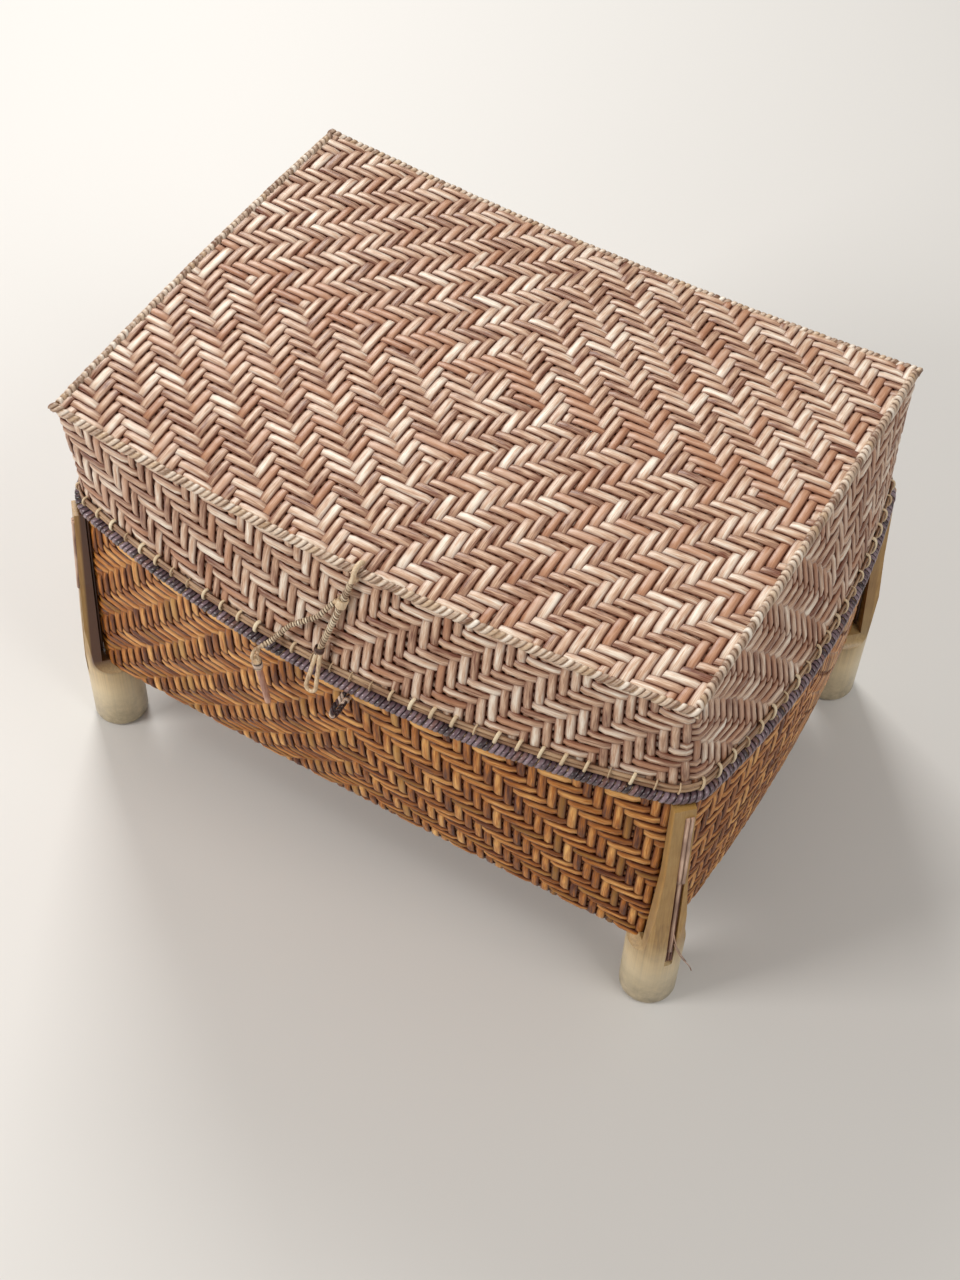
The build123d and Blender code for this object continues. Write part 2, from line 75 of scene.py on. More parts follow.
# Light: a large window behind on the left, the room in front of it and a weak ceiling light
# on the right, over a pale floor that keeps the object's shadow
def area_light(name, place, aim, side, watts, colour):
    lamp = bpy.data.lights.new(name, "AREA")
    lamp.shape = "RECTANGLE"
    lamp.size = lamp.size_y = side
    lamp.energy = watts
    lamp.color = colour
    made = bpy.data.objects.new(name, lamp)
    made.location = place
    made.rotation_euler = (Vector(aim) - Vector(place)).to_track_quat("-Z", "Y").to_euler()
    scene.collection.objects.link(made)


area_light("window", (-1.3, 1.3, 1.7), (0, 0, 0.25), 0.9, 35, (1.0, 0.98, 0.95))
area_light("room", (-1.3, -1.5, 1.3), (0, 0, 0.15), 0.8, 27, (1.0, 0.96, 0.92))
area_light("ceiling", (1.3, -0.3, 1.8), (0, 0, 0.1), 0.9, 12, (1.0, 0.97, 0.93))
scene.world = bpy.data.worlds.new("world")
scene.world.use_nodes = True
sky = scene.world.node_tree.nodes["Background"]
sky.inputs["Color"].default_value = (1.0, 0.97, 0.93, 1)
sky.inputs["Strength"].default_value = 0.30

floor_reach = 3
floor_mesh = bpy.data.meshes.new("floor")
corners = [(x * floor_reach, y * floor_reach, 0) for x, y in ((-1, -1), (1, -1), (1, 1), (-1, 1))]
floor_mesh.from_pydata(corners, [], [(0, 1, 2, 3)])
floor = bpy.data.objects.new("floor", floor_mesh)
scene.collection.objects.link(floor)
floor_paint = bpy.data.materials.new("floor paint")
floor_paint.use_nodes = True
floor_look = floor_paint.node_tree.nodes["Principled BSDF"]
floor_look.inputs["Base Color"].default_value = (0.74, 0.73, 0.71, 1)
floor_look.inputs["Roughness"].default_value = 0.55
floor_mesh.materials.append(floor_paint)
floor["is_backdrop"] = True


# Split cane: the strips that the whole box is woven and bound with, glossy on the rind side.
# The group colours one strand by what its mesh carries: across runs from -1 to 1 between its
# edges, along is in millimetres, strand is a random number for each, and lift is 1 on top.
# Its edges and the parts where lift is under 1 are darkened towards the deep colour as painted shade.
def add(tree, kind, inputs=(), **settings):
    made = tree.nodes.new(kind)
    for name, value in settings.items():
        setattr(made, name, value)
    for socket, value in dict(inputs).items():
        if isinstance(value, bpy.types.NodeSocket):
            tree.links.new(value, made.inputs[socket])
        else:
            made.inputs[socket].default_value = value
    return made


def calc(tree, operation, *values):
    return add(tree, "ShaderNodeMath", enumerate(values), operation=operation).outputs[0]


def point(tree, x, y, z):
    return add(tree, "ShaderNodeCombineXYZ", {0: x, 1: y, 2: z}).outputs[0]


def noise(tree, place, scale, detail, roughness=0.5):
    sockets = {"Vector": place, "Scale": scale, "Detail": detail, "Roughness": roughness}
    return add(tree, "ShaderNodeTexNoise", sockets).outputs[0]


def blend(tree, share, first, second):
    """The first colour, turning to the second as the share goes from 0 to 1."""
    sockets = {0: share, 6: first, 7: second}
    return add(tree, "ShaderNodeMix", sockets, data_type="RGBA", clamp_factor=True).outputs[2]


def three_tones(tree, tone, deep, middle, pale):
    low = blend(tree, calc(tree, "MULTIPLY", tone, 2.0), deep, middle)
    return blend(tree, calc(tree, "MULTIPLY_ADD", tone, 2.0, -1.0), low, pale)


def spread_of(tree, value, amount, start):
    """Adds a value that runs from 0 to 1 to the start, as a swing of that amount about its middle."""
    return calc(tree, "MULTIPLY_ADD", calc(tree, "SUBTRACT", value, 0.5), amount, start)


def group_tree(name, kind, sockets, results):
    """A node group with named inputs and outputs, and its two end nodes."""
    tree = bpy.data.node_groups.new(name, kind)
    for label, socket, value in sockets:
        made = tree.interface.new_socket(label, in_out="INPUT", socket_type=socket)
        if value is not None:
            made.default_value = value
    for label, socket in results:
        tree.interface.new_socket(label, in_out="OUTPUT", socket_type=socket)
    return tree, tree.nodes.new("NodeGroupInput").outputs, tree.nodes.new("NodeGroupOutput").inputs


NUMBER, COUNT, COLOUR = "NodeSocketFloat", "NodeSocketInt", "NodeSocketColor"
SHAPE, MATERIAL = "NodeSocketGeometry", "NodeSocketMaterial"
fibre, given, result = group_tree(
    "cane fibre",
    "ShaderNodeTree",
    [
        ("Pale", COLOUR, (0.8, 0.7, 0.5, 1)),
        ("Middle", COLOUR, (0.6, 0.45, 0.28, 1)),
        ("Deep", COLOUR, (0.3, 0.16, 0.08, 1)),
        ("Odd", COLOUR, (0.5, 0.25, 0.12, 1)),
        ("Grain", NUMBER, 0.5),
        # Edge sets how strongly painted shade darkens a strand's edges
        ("Edge", NUMBER, 0.6),
        ("Spread", NUMBER, 0.5),
    ],
    [("Colour", COLOUR), ("Rough", NUMBER), ("Height", NUMBER)],
)
strand, across, along, lift = [
    add(fibre, "ShaderNodeAttribute", attribute_name=name).outputs["Fac"]
    for name in ("strand", "across", "along", "lift")
]
streak_spot = point(
    fibre,
    calc(fibre, "MULTIPLY", across, 6.0),
    calc(fibre, "MULTIPLY", along, 0.09),
    calc(fibre, "MULTIPLY", strand, 91.0),
)
streak = noise(fibre, streak_spot, 1.0, 3.0, 0.6)
patch_spot = point(fibre, calc(fibre, "MULTIPLY", along, 0.045), calc(fibre, "MULTIPLY", strand, 57.0), across)
patch = noise(fibre, patch_spot, 1.0, 2.0)
tone = spread_of(fibre, strand, given["Spread"], 0.5)
tone = spread_of(fibre, streak, given["Grain"], tone)
tone = spread_of(fibre, patch, 1.3, tone)
colour = three_tones(fibre, tone, given["Deep"], given["Middle"], given["Pale"])
odd_one = calc(fibre, "GREATER_THAN", calc(fibre, "FRACT", calc(fibre, "MULTIPLY", strand, 37.3)), 0.86)
colour = blend(fibre, calc(fibre, "MULTIPLY", odd_one, 0.6), colour, given["Odd"])
# Painted shade: darker towards the deep colour at the edges, where the strand turns down into the gaps, and where it
# lies low, as where it passes under another strand
edge = calc(fibre, "POWER", calc(fibre, "ABSOLUTE", across), 2.4)
sunk = calc(fibre, "MULTIPLY_ADD", lift, -0.18, 0.18)
painted_shade = calc(fibre, "MULTIPLY_ADD", edge, given["Edge"], sunk)
fibre.links.new(blend(fibre, painted_shade, colour, given["Deep"]), result["Colour"])
fibre.links.new(calc(fibre, "MULTIPLY_ADD", streak, 0.3, 0.25), result["Rough"])
fibre.links.new(streak, result["Height"])


def cane_material(name, colours, grain=0.5, edge=0.6, spread=0.5, coat=0.15, bump=0.25):
    """Cane from its pale, middle, deep and odd colours; edge sets the painted shade at the strands' edges."""
    made = bpy.data.materials.new(name)
    made.use_nodes = True
    tree = made.node_tree
    look = tree.nodes["Principled BSDF"]
    cane = add(tree, "ShaderNodeGroup", node_tree=fibre)
    for label, colour in zip(("Pale", "Middle", "Deep", "Odd"), colours):
        cane.inputs[label].default_value = (*colour, 1)
    for label, value in (("Grain", grain), ("Edge", edge), ("Spread", spread)):
        cane.inputs[label].default_value = value
    raised = add(tree, "ShaderNodeBump", {"Strength": bump, "Distance": 0.0006, "Height": cane.outputs["Height"]})
    tree.links.new(cane.outputs["Colour"], look.inputs["Base Color"])
    tree.links.new(cane.outputs["Rough"], look.inputs["Roughness"])
    tree.links.new(raised.outputs[0], look.inputs["Normal"])
    look.inputs["Coat Weight"].default_value = coat
    look.inputs["Coat Roughness"].default_value = 0.3
    look.inputs["Specular IOR Level"].default_value = 0.35
    return made


lid_cane = cane_material(
    "lid cane",
    [(0.96, 0.87, 0.74), (0.64, 0.41, 0.27), (0.17, 0.052, 0.026), (0.48, 0.21, 0.10)],
    grain=1.3,
    edge=1.1,
    coat=0.3,
    bump=0.4,
)
base_cane = cane_material(
    "base cane",
    [(0.94, 0.52, 0.17), (0.50, 0.165, 0.018), (0.08, 0.014, 0.002), (0.36, 0.17, 0.02)],
    grain=1.3,
    edge=1.35,
    spread=0.7,
    coat=0.08,
    bump=0.4,
)


# Woven cane, as in every wall of the box: flat strands that stand and lie across each other,
# three over and three under, each row a step on from the last, so that chevrons and lozenges show.
# They lie on a guide surface, whose UV runs from 0 to 1 over the strands of each direction.
mm = 0.001
side_points = 97
half_corner = 8
strands_round = 224
around = [(0, 48), (1, 64), (2, 48), (3, 64)]
ring_counts = {"Start 1": 48.0, "Start 2": 112.0, "Start 3": 160.0, "Total": float(strands_round)}


def outline_row(length, width, long_bulge, short_bulge, radius, z, shares):
    """Points round a bulged and rounded rectangle, from its back left corner by the left side."""
    x, y = length / 2, width / 2
    corners = [Vector((-x, y)), Vector((-x, -y)), Vector((x, -y)), Vector((x, y))]
    bulges = [short_bulge, long_bulge, short_bulge, long_bulge]
    sides = []
    for k in range(4):
        a, b = corners[k], corners[(k + 1) % 4]
        half = (b - a).length / 2
        r = (half**2 + bulges[k] ** 2) / (2 * bulges[k])
        t = (b - a).normalized()
        out = Vector((t.y, -t.x))
        middle = (a + b) / 2
        swing = math.asin(half / r)
        angles = np.linspace(-swing, swing, side_points)
        sides.append([middle + t * (r * math.sin(g)) + out * (r * math.cos(g) - r + bulges[k]) for g in angles])
    turns = []
    for k in range(4):
        before, after = sides[k - 1], sides[k]
        t0 = (before[-1] - before[-2]).normalized()
        t1 = (after[1] - after[0]).normalized()
        turn = t0.angle(t1)
        reach = radius * math.tan(turn / 2)
        start = corners[k] - t0 * reach
        centre = start + Vector((-t0.y, t0.x)) * radius
        arm = start - centre
        arc = []
        for f in np.linspace(0, 1, 2 * half_corner + 1):
            cosine, sine = math.cos(turn * f), math.sin(turn * f)
            arc.append(centre + Vector((arm.x * cosine - arm.y * sine, arm.x * sine + arm.y * cosine)))
        turns.append((reach, arc))
    rows = []
    for k in range(4):
        reach0, arc0 = turns[k]
        reach1, arc1 = turns[(k + 1) % 4]
        a, b = corners[k], corners[(k + 1) % 4]
        line = [p for p in sides[k] if (p - a).length > reach0 and (p - b).length > reach1]
        points = np.array([tuple(p) for p in arc0[half_corner:] + line + arc1[: half_corner + 1]])
        steps = np.concatenate([[0], np.cumsum(np.linalg.norm(np.diff(points, axis=0), axis=1))])
        rows.append((points, steps / steps[-1]))
    made = []
    for side, share in shares:
        points, steps = rows[side]
        made.append((np.interp(share, steps, points[:, 0]), np.interp(share, steps, points[:, 1]), z))
    return made


def ring_shares(per_strand):
    """Places round the four sides, and the same as a share of all the strands."""
    shares, run = [], []
    start = 0
    for side, count in around:
        for k in range(count * per_strand + (1 if side == 3 else 0)):
            shares.append((side, k / (count * per_strand)))
            run.append((start + k / per_strand) / strands_round)
        start += count
    return shares, run


def guide_mesh(name, rows, us, vs):
    """A grid of points with smooth faces and a UV map. Rows go down, columns go round."""
    many = len(us)
    points = [tuple(np.array(p) * mm) for row in rows for p in row]
    faces = []
    for r in range(len(rows) - 1):
        for c in range(many - 1):
            a = r * many + c
            faces.append((a, a + many, a + many + 1, a + 1))
    made = bpy.data.meshes.new(name)
    made.from_pydata(points, [], faces)
    uv = made.uv_layers.new(name="UVMap")
    where = [(u, v) for v in vs for u in us]
    for loop in made.loops:
        uv.data[loop.index].uv = where[loop.vertex_index]
    made.shade_smooth()
    made.update()
    return made


rule_sockets = [("Slope", NUMBER, 1.0), ("Row centre", NUMBER, 0.0), ("Total", NUMBER, float(strands_round))]
rule_sockets += [(f"Start {k}", NUMBER, 0.0) for k in (1, 2, 3)]
rule_sockets += [(f"{word} {k}", NUMBER, 0.0) for word in ("Centre", "Phase") for k in (0, 1, 2, 3)]
rule, given, result = group_tree(
    "twill rule",
    "GeometryNodeTree",
    [("Around", NUMBER, 0.0), ("Down", NUMBER, 0.0), ("Float", NUMBER, 3.0)] + rule_sockets,
    [("Over", NUMBER)],
)
place = calc(rule, "FLOORED_MODULO", given["Around"], given["Total"])
centre, phase = given["Centre 0"], given["Phase 0"]
for k in (1, 2, 3):
    past = calc(rule, "GREATER_THAN", place, calc(rule, "SUBTRACT", given[f"Start {k}"], 0.5))
    centre = add(rule, "ShaderNodeMix", {0: past, 2: centre, 3: given[f"Centre {k}"]}).outputs[0]
    phase = add(rule, "ShaderNodeMix", {0: past, 2: phase, 3: given[f"Phase {k}"]}).outputs[0]
sideways = calc(rule, "ABSOLUTE", calc(rule, "SUBTRACT", place, centre))
downways = calc(rule, "ABSOLUTE", calc(rule, "SUBTRACT", given["Down"], given["Row centre"]))
steps_on = calc(rule, "ADD", calc(rule, "MULTIPLY_ADD", downways, given["Slope"], sideways), phase)
period = calc(rule, "MULTIPLY", given["Float"], 2.0)
turn = calc(rule, "FLOORED_MODULO", calc(rule, "ADD", steps_on, 0.01), period)
over = calc(rule, "GREATER_THAN", turn, given["Float"])
rule.links.new(calc(rule, "MULTIPLY_ADD", over, 2.0, -1.0), result["Over"])

woven, given, result = group_tree(
    "woven wall",
    "GeometryNodeTree",
    [
        ("Guide", SHAPE, None),
        ("Strands", COUNT, 64),
        ("Crossings", COUNT, 20),
        ("Down the wall", "NodeSocketBool", True),
        ("Cover", NUMBER, 0.97),
        ("Thickness", NUMBER, 0.0017),
        ("Wave", NUMBER, 0.0008),
        ("Depth", NUMBER, 0.0013),
        ("Wander", NUMBER, 0.10),
        ("Cell", NUMBER, 7.0),
        ("Samples", COUNT, 2),
        ("Seed", COUNT, 1),
        ("Material", MATERIAL, None),
    ]
    + rule_sockets,
    [("Geometry", SHAPE)],
)


def keep_values(tree, geometry, values, domain="POINT", kind="FLOAT"):
    for name, value in values.items():
        sockets = {"Geometry": geometry, "Name": name, "Value": value}
        made = add(tree, "GeometryNodeStoreNamedAttribute", sockets, data_type=kind, domain=domain)
        geometry = made.outputs["Geometry"]
    return geometry


def read_value(tree, name, kind="FLOAT"):
    return add(tree, "GeometryNodeInputNamedAttribute", {"Name": name}, data_type=kind).outputs["Attribute"]


def strand_rod(tree, sides, segments):
    """One smooth rod from -1 to 1 across and -0.5 to 0.5 along, to be laid out as a strand."""
    sockets = {"Vertices": sides, "Side Segments": segments, "Radius": 1.0, "Depth": 1.0}
    rod = add(tree, "GeometryNodeMeshCylinder", sockets).outputs["Mesh"]
    return add(tree, "GeometryNodeSetShadeSmooth", {"Geometry": rod}).outputs[0]


def split_up(tree, place):
    return add(tree, "ShaderNodeSeparateXYZ", {0: place}).outputs


def chance_of(tree, number, seed):
    sockets = {"ID": number, "Seed": seed}
    return add(tree, "FunctionNodeRandomValue", sockets, data_type="FLOAT").outputs[1]


def ramp(tree, value, low, high, start=0.0, end=1.0, kind="LINEAR"):
    """Goes from start to end as the value goes from low to high."""
    sockets = {"Value": value, "From Min": low, "From Max": high, "To Min": start, "To Max": end}
    return add(tree, "ShaderNodeMapRange", sockets, interpolation_type=kind).outputs[0]


def vector(tree, operation, *values, **named):
    return add(tree, "ShaderNodeVectorMath", dict(enumerate(values)) | named, operation=operation).outputs[0]


def end_tree(tree, mesh, place):
    """Moves the points to their places and ends the tree."""
    mesh = add(tree, "GeometryNodeSetPosition", {"Geometry": mesh, "Position": place}).outputs[0]
    dress_tree(tree, mesh)


def dress_tree(tree, mesh):
    """Ends the tree that given and result belong to in a plain mesh with its material."""
    mesh = add(tree, "GeometryNodeRealizeInstances", {"Geometry": mesh}).outputs[0]
    mesh = add(tree, "GeometryNodeSetMaterial", {"Geometry": mesh, "Material": given["Material"]}).outputs[0]
    tree.links.new(mesh, result["Geometry"])


def either(standing, lying):
    """The first value for strands that run down the wall, the second for those across it."""
    sockets = {"Switch": given["Down the wall"], "False": lying, "True": standing}
    return add(woven, "GeometryNodeSwitch", sockets, input_type="FLOAT").outputs[0]


# One rod for each strand, with its number and its own places kept
rod = strand_rod(woven, 8, calc(woven, "MULTIPLY", given["Crossings"], given["Samples"]))
here = add(woven, "GeometryNodeInputPosition").outputs[0]
rod = keep_values(woven, rod, {"local": here}, kind="FLOAT_VECTOR")
line = add(woven, "GeometryNodeMeshLine", {"Count": given["Strands"]}).outputs[0]
line = keep_values(woven, line, {"index": add(woven, "GeometryNodeInputIndex").outputs[0]})
many = add(woven, "GeometryNodeInstanceOnPoints", {"Points": line, "Instance": rod}).outputs[0]
mesh = add(woven, "GeometryNodeRealizeInstances", {"Geometry": many}).outputs[0]
index = read_value(woven, "index")
local = split_up(woven, read_value(woven, "local", "FLOAT_VECTOR"))
chance = chance_of(woven, index, given["Seed"])
chance2 = chance_of(woven, index, calc(woven, "ADD", given["Seed"], 7.0))

# Over or under at the crossings before and after, with a smooth step from the one to the other
run = calc(woven, "ADD", local[2], 0.5)
cells = calc(woven, "MULTIPLY", run, given["Crossings"])
from_middle = calc(woven, "SUBTRACT", cells, 0.5)
whole_cell = calc(woven, "FLOOR", from_middle)
part_cell = calc(woven, "SUBTRACT", from_middle, whole_cell)
ease = ramp(woven, part_cell, 0.12, 0.88, kind="SMOOTHSTEP")
signs = []
for step in (0.0, 1.0):
    cell = calc(woven, "ADD", whole_cell, step)
    sockets = {label: given[label] for label, kind, value in rule_sockets}
    sockets |= {"Around": either(index, cell), "Down": either(cell, index)}
    signs.append(add(woven, "GeometryNodeGroup", sockets, node_tree=rule).outputs["Over"])
height = add(woven, "ShaderNodeMix", {0: ease, 2: signs[0], 3: signs[1]}).outputs[0]
side_sign = either(-1.0, 1.0)
height = calc(woven, "MULTIPLY", height, side_sign)

# The strand's lane on the guide, which wanders a little, and its height over the guide
sway_spot = point(woven, calc(woven, "MULTIPLY", cells, 0.16), calc(woven, "MULTIPLY", index, 3.7), given["Seed"])
sway = noise(woven, sway_spot, 1.0, 1.0)
wander = calc(woven, "MULTIPLY", given["Wander"], 2.0)
sway = calc(woven, "MULTIPLY", calc(woven, "SUBTRACT", sway, 0.5), wander)
cover = calc(woven, "MULTIPLY", given["Cover"], calc(woven, "MULTIPLY_ADD", chance, 0.2, 0.88))
lane = calc(woven, "ADD", calc(woven, "ADD", index, 0.5), sway)
half_lane = calc(woven, "MULTIPLY", calc(woven, "MULTIPLY", cover, -0.5), side_sign)
lane = calc(woven, "MULTIPLY_ADD", local[0], half_lane, lane)
lane = calc(woven, "DIVIDE", lane, given["Strands"])
spots = [
    add(woven, "ShaderNodeClamp", {0: spot, 1: 0.0001, 2: 0.9999}).outputs[0]
    for spot in (either(lane, run), either(run, lane))
]
where = point(woven, *spots, 0.0)
uv = read_value(woven, "UVMap", "FLOAT_VECTOR")


def on_guide(kind):
    """The guide's position or normal under a point of a strand."""
    value = add(woven, kind).outputs[0]
    sockets = {"Mesh": given["Guide"], "Value": value, "Source UV Map": uv, "Sample UV": where}
    return add(woven, "GeometryNodeSampleUVSurface", sockets, data_type="FLOAT_VECTOR").outputs["Value"]


belly = calc(woven, "MULTIPLY", calc(woven, "MULTIPLY", local[1], 0.5), given["Thickness"])
rise = calc(woven, "MULTIPLY_ADD", height, given["Wave"], belly)
rise = calc(woven, "SUBTRACT", rise, given["Depth"])
rise = spread_of(woven, chance2, 0.0003, rise)
lifted = vector(woven, "SCALE", on_guide("GeometryNodeInputNormal"), Scale=rise)
target = vector(woven, "ADD", on_guide("GeometryNodeInputPosition"), lifted)
along = calc(woven, "MULTIPLY", cells, given["Cell"])
# lift is -1 where a strand passes under another, and the cane fibre group darkens it there as painted shade
mesh = keep_values(woven, mesh, {"strand": chance, "across": local[0], "along": along, "lift": height})
end_tree(woven, mesh, target)


def grown_piece(name, mesh, tree, values):
    """A piece made by a node tree from a mesh, as a plain mesh at the origin."""
    seedling = bpy.data.objects.new(name + " guide", mesh)
    scene.collection.objects.link(seedling)
    modifier = seedling.modifiers.new("grow", "NODES")
    modifier.node_group = tree
    names = {s.name: s.identifier for s in tree.interface.items_tree if s.in_out == "INPUT"}
    for label, value in values.items():
        modifier[names[label]] = value
    graph = bpy.context.evaluated_depsgraph_get()
    made = bpy.data.meshes.new_from_object(seedling.evaluated_get(graph), depsgraph=graph)
    made.name = name
    for spare in ("local", "index", "UVMap"):
        if spare in made.attributes:
            made.attributes.remove(made.attributes[spare])
    bpy.data.objects.remove(seedling)
    piece = bpy.data.objects.new(name, made)
    scene.collection.objects.link(piece)
    return piece


def weave(kind, guide, stakes, weavers, seeds, cells, values):
    """The two pieces of a weave, its stakes and the weavers across them.

    Cells are the lengths in millimetres from one crossing to the next, along each of the two.
    """
    pieces = []
    for word, down, strands, crossings, seed, cell in (
        ("stakes", True, stakes, weavers, seeds[0], cells[0]),
        ("weavers", False, weavers, stakes, seeds[1], cells[1]),
    ):
        own = {"Strands": strands, "Crossings": crossings, "Down the wall": down, "Seed": seed, "Cell": cell}
        pieces.append(grown_piece(f"{kind}_{word}", guide, woven, values | own))
    return pieces


# Basket wall: honey-brown split cane, woven in chevrons that point up.
# Its stakes come up out of the bottom round a soft edge, and end in the rim's binding.
base_bottom, rim_low = 60.0, 221.1
rim_length, rim_width, rim_long_bulge, rim_short_bulge, rim_radius = 446, 293, 33.3, 18.5, 26


def mix(a, b, f):
    return a + (b - a) * f


def base_row(z, shares, grow=0.0):
    """The basket's outline at a height: nearly square at the foot, bulged like the rim at the top."""
    up = (z - base_bottom) / (rim_low - base_bottom)
    bow = 4.0 * 4 * up * (1 - up) if 0 < up < 1 else 0
    up = min(max(up, 0), 1)
    return outline_row(
        rim_length + 2 * grow,
        mix(315, rim_width, up) + 2 * grow,
        mix(1, rim_long_bulge, up) + bow,
        mix(8, rim_short_bulge, up) + bow,
        max(mix(18, rim_radius, up) + grow, 2),
        z,
        shares,
    )


shares, us = ring_shares(2)
edge_turn = 10.0
wall_run = 163.4
crowding = 0.225
vs = [k / 40 for k in range(41)]
rows = []
for v in vs:
    z = rim_low + 3 - wall_run * ((1 + crowding) * v - crowding * v * v)
    if z < base_bottom + edge_turn:
        g = math.radians(90) * (base_bottom + edge_turn - z) / edge_turn
        z = base_bottom + edge_turn * (1 - math.sin(g))
        rows.append(base_row(z, shares, -edge_turn * (1 - math.cos(g))))
    else:
        rows.append(base_row(z, shares))
wall_guide = guide_mesh("base wall guide", rows, us, vs)
base_rule = {"Slope": -1.0, "Centre 0": 24.0, "Centre 1": 80.0, "Centre 2": 136.0, "Centre 3": 192.0}
base_rule |= {f"Phase {k}": 3.0 for k in (0, 1, 2, 3)} | ring_counts
base_strips = {"Cover": 0.95, "Thickness": 0.0028, "Wave": 0.0010, "Depth": 0.0015, "Material": base_cane}
for piece in weave("base", wall_guide, 224, 24, seeds=(3, 5), cells=(6.8, 6.8), values=base_rule | base_strips):
    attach(piece, "base")
    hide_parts("base_weave")


# Basket bottom: the same cane, woven flat before the wall's stakes are turned up.
# It can't be seen in the photograph, and has the weave of the lid's top.
def flat_guide(name, height, edge_x, edge_y, bulges, columns, rows, power=2):
    """A flat or crowned field with bulged edges. Bulges are at the ends, the front and the back."""
    points = []
    for r in range(rows + 1):
        y = 1 - 2 * r / rows
        row = []
        for c in range(columns + 1):
            x = 2 * c / columns - 1
            out_x = x * (edge_x + bulges[0] * (1 - abs(y) ** power))
            out_y = y * (edge_y + mix(bulges[1], bulges[2], (y + 1) / 2) * (1 - abs(x) ** power))
            row.append((out_x, out_y, height(x, y)))
        points.append(row)
    return guide_mesh(name, points, [c / columns for c in range(columns + 1)], [r / rows for r in range(rows + 1)])


no_corners = {"Total": 999.0, "Start 1": 998.0, "Start 2": 998.0, "Start 3": 998.0}
bottom_guide = flat_guide("base bottom guide", lambda x, y: base_bottom + 4.0, 214, 148, (12, 7.5, 7.5), 32, 24, 8)
bottom_look = no_corners | {"Row centre": 22.0, "Centre 0": 31.0, "Depth": 0.0, "Samples": 1, "Material": base_cane}
for piece in weave("bottom", bottom_guide, 62, 44, seeds=(13, 15), cells=(7.0, 7.0), values=bottom_look):
    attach(piece, "base")
    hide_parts("base_weave")


# Lid sides: pale split cane, the strands of the top turned down to the hem.
# They are straight under the top's corners, and bulge like the rim at the hem.
lid_low, hem_top, shoulder = 228.8, 237.0, 320.5


def lid_row(z, shares):
    up = min(max((z - hem_top) / (shoulder - hem_top), 0), 1)
    return outline_row(
        mix(rim_length, 440, up),
        mix(rim_width, 314, up),
        mix(rim_long_bulge, 3, up),
        mix(rim_short_bulge, 3, up),
        max(mix(rim_radius, 4, up), 1),
        z,
        shares,
    )


def crown(x, y):
    """Height of the lid's top, whose long edges sag and whose right edge rises."""
    f = y / 160.0
    sag = 6 + 4.5 * f + 7.5 * f * f
    rise = 8 * (1 - f * f)
    g = x / 220.0
    return shoulder + rise * (g + 1) / 2 - sag * (1 - g * g)


tops = [crown(min(max(x, -220), 220), y) - 1.0 for x, y, z in lid_row(shoulder, shares)]
slices = 29
levels = [lid_row(z, shares) for z in np.linspace(lid_low, shoulder, slices + 1)]
vs = [k / 24 for k in range(25)]
rows = []
for v in vs:
    row = []
    for n, top in enumerate(tops):
        z = mix(top, lid_low + 1.5, v)
        f = (min(z, shoulder) - lid_low) / (shoulder - lid_low) * slices
        level = min(int(f), slices - 1)
        below, above = levels[level][n], levels[level + 1][n]
        row.append((mix(below[0], above[0], f - level), mix(below[1], above[1], f - level), z))
    rows.append(row)
side_guide = guide_mesh("lid side guide", rows, us, vs)
lid_rule = {"Slope": 1.0, "Centre 0": 22.0, "Centre 1": 79.0, "Centre 2": 137.0, "Centre 3": 192.0}
lid_rule |= {"Phase 0": 5.0, "Phase 1": 2.0, "Phase 2": 0.0, "Phase 3": 5.0} | ring_counts
lid_strips = {"Cover": 0.9, "Thickness": 0.0026, "Wave": 0.0010, "Depth": 0.0015, "Material": lid_cane}
for piece in weave("lid_side", side_guide, 224, 12, seeds=(23, 25), cells=(7.5, 6.8), values=lid_rule | lid_strips):
    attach(piece, "lid")
    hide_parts("lid_weave")

# Lid top: the same cane, woven in lozenges about a point near its middle.
# It sags between the four bound canes along its edges, and its right end stands higher.
top_guide = flat_guide("lid top guide", lambda x, y: crown(x * 219, y * 156), 219, 156, (2.5, 5.8, 9.0), 64, 48)
top_look = no_corners | {"Row centre": 23.0, "Centre 0": 31.0, "Material": lid_cane}
for piece in weave("lid_top", top_guide, 64, 48, seeds=(33, 35), cells=(6.6, 6.9), values=top_look):
    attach(piece, "lid")
    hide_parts("lid_weave")

# Wound cane, as round the rim, the lid's edges and the strap: one split strip wound round a path.
# It is one closed ribbon, turn after turn, and every turn lies a little off its neighbours.
# Lean is how far a turn slants along the path, and Boxiness under 1 squares its section.
wound, given, result = group_tree(
    "wound cane",
    "GeometryNodeTree",
    [
        ("Path", SHAPE, None),
        ("Pitch", NUMBER, 0.0036),
        ("Half width", NUMBER, 0.004),
        ("Half height", NUMBER, 0.004),
        ("Boxiness", NUMBER, 1.0),
        ("Cover", NUMBER, 1.02),
        ("Thickness", NUMBER, 0.0012),
        ("Lean", NUMBER, 0.0),
        ("Steps", COUNT, 14),
        ("Wander", NUMBER, 0.2),
        ("Seed", COUNT, 1),
        ("Reference", "NodeSocketVector", (0, 0, 1)),
        ("Material", MATERIAL, None),
    ],
    [("Geometry", SHAPE)],
)
path = add(wound, "GeometryNodeMeshToCurve", {"Mesh": given["Path"]}).outputs[0]
length = add(wound, "GeometryNodeCurveLength", {0: path}).outputs[0]
turns = calc(wound, "ROUND", calc(wound, "DIVIDE", length, given["Pitch"]))
rod = strand_rod(wound, 6, calc(wound, "MULTIPLY", turns, given["Steps"]))
local = split_up(wound, add(wound, "GeometryNodeInputPosition").outputs[0])
run = calc(wound, "ADD", local[2], 0.5)
turn = calc(wound, "MULTIPLY", run, turns)
number = calc(wound, "FLOOR", calc(wound, "ADD", turn, 0.5))
chance = chance_of(wound, number, given["Seed"])
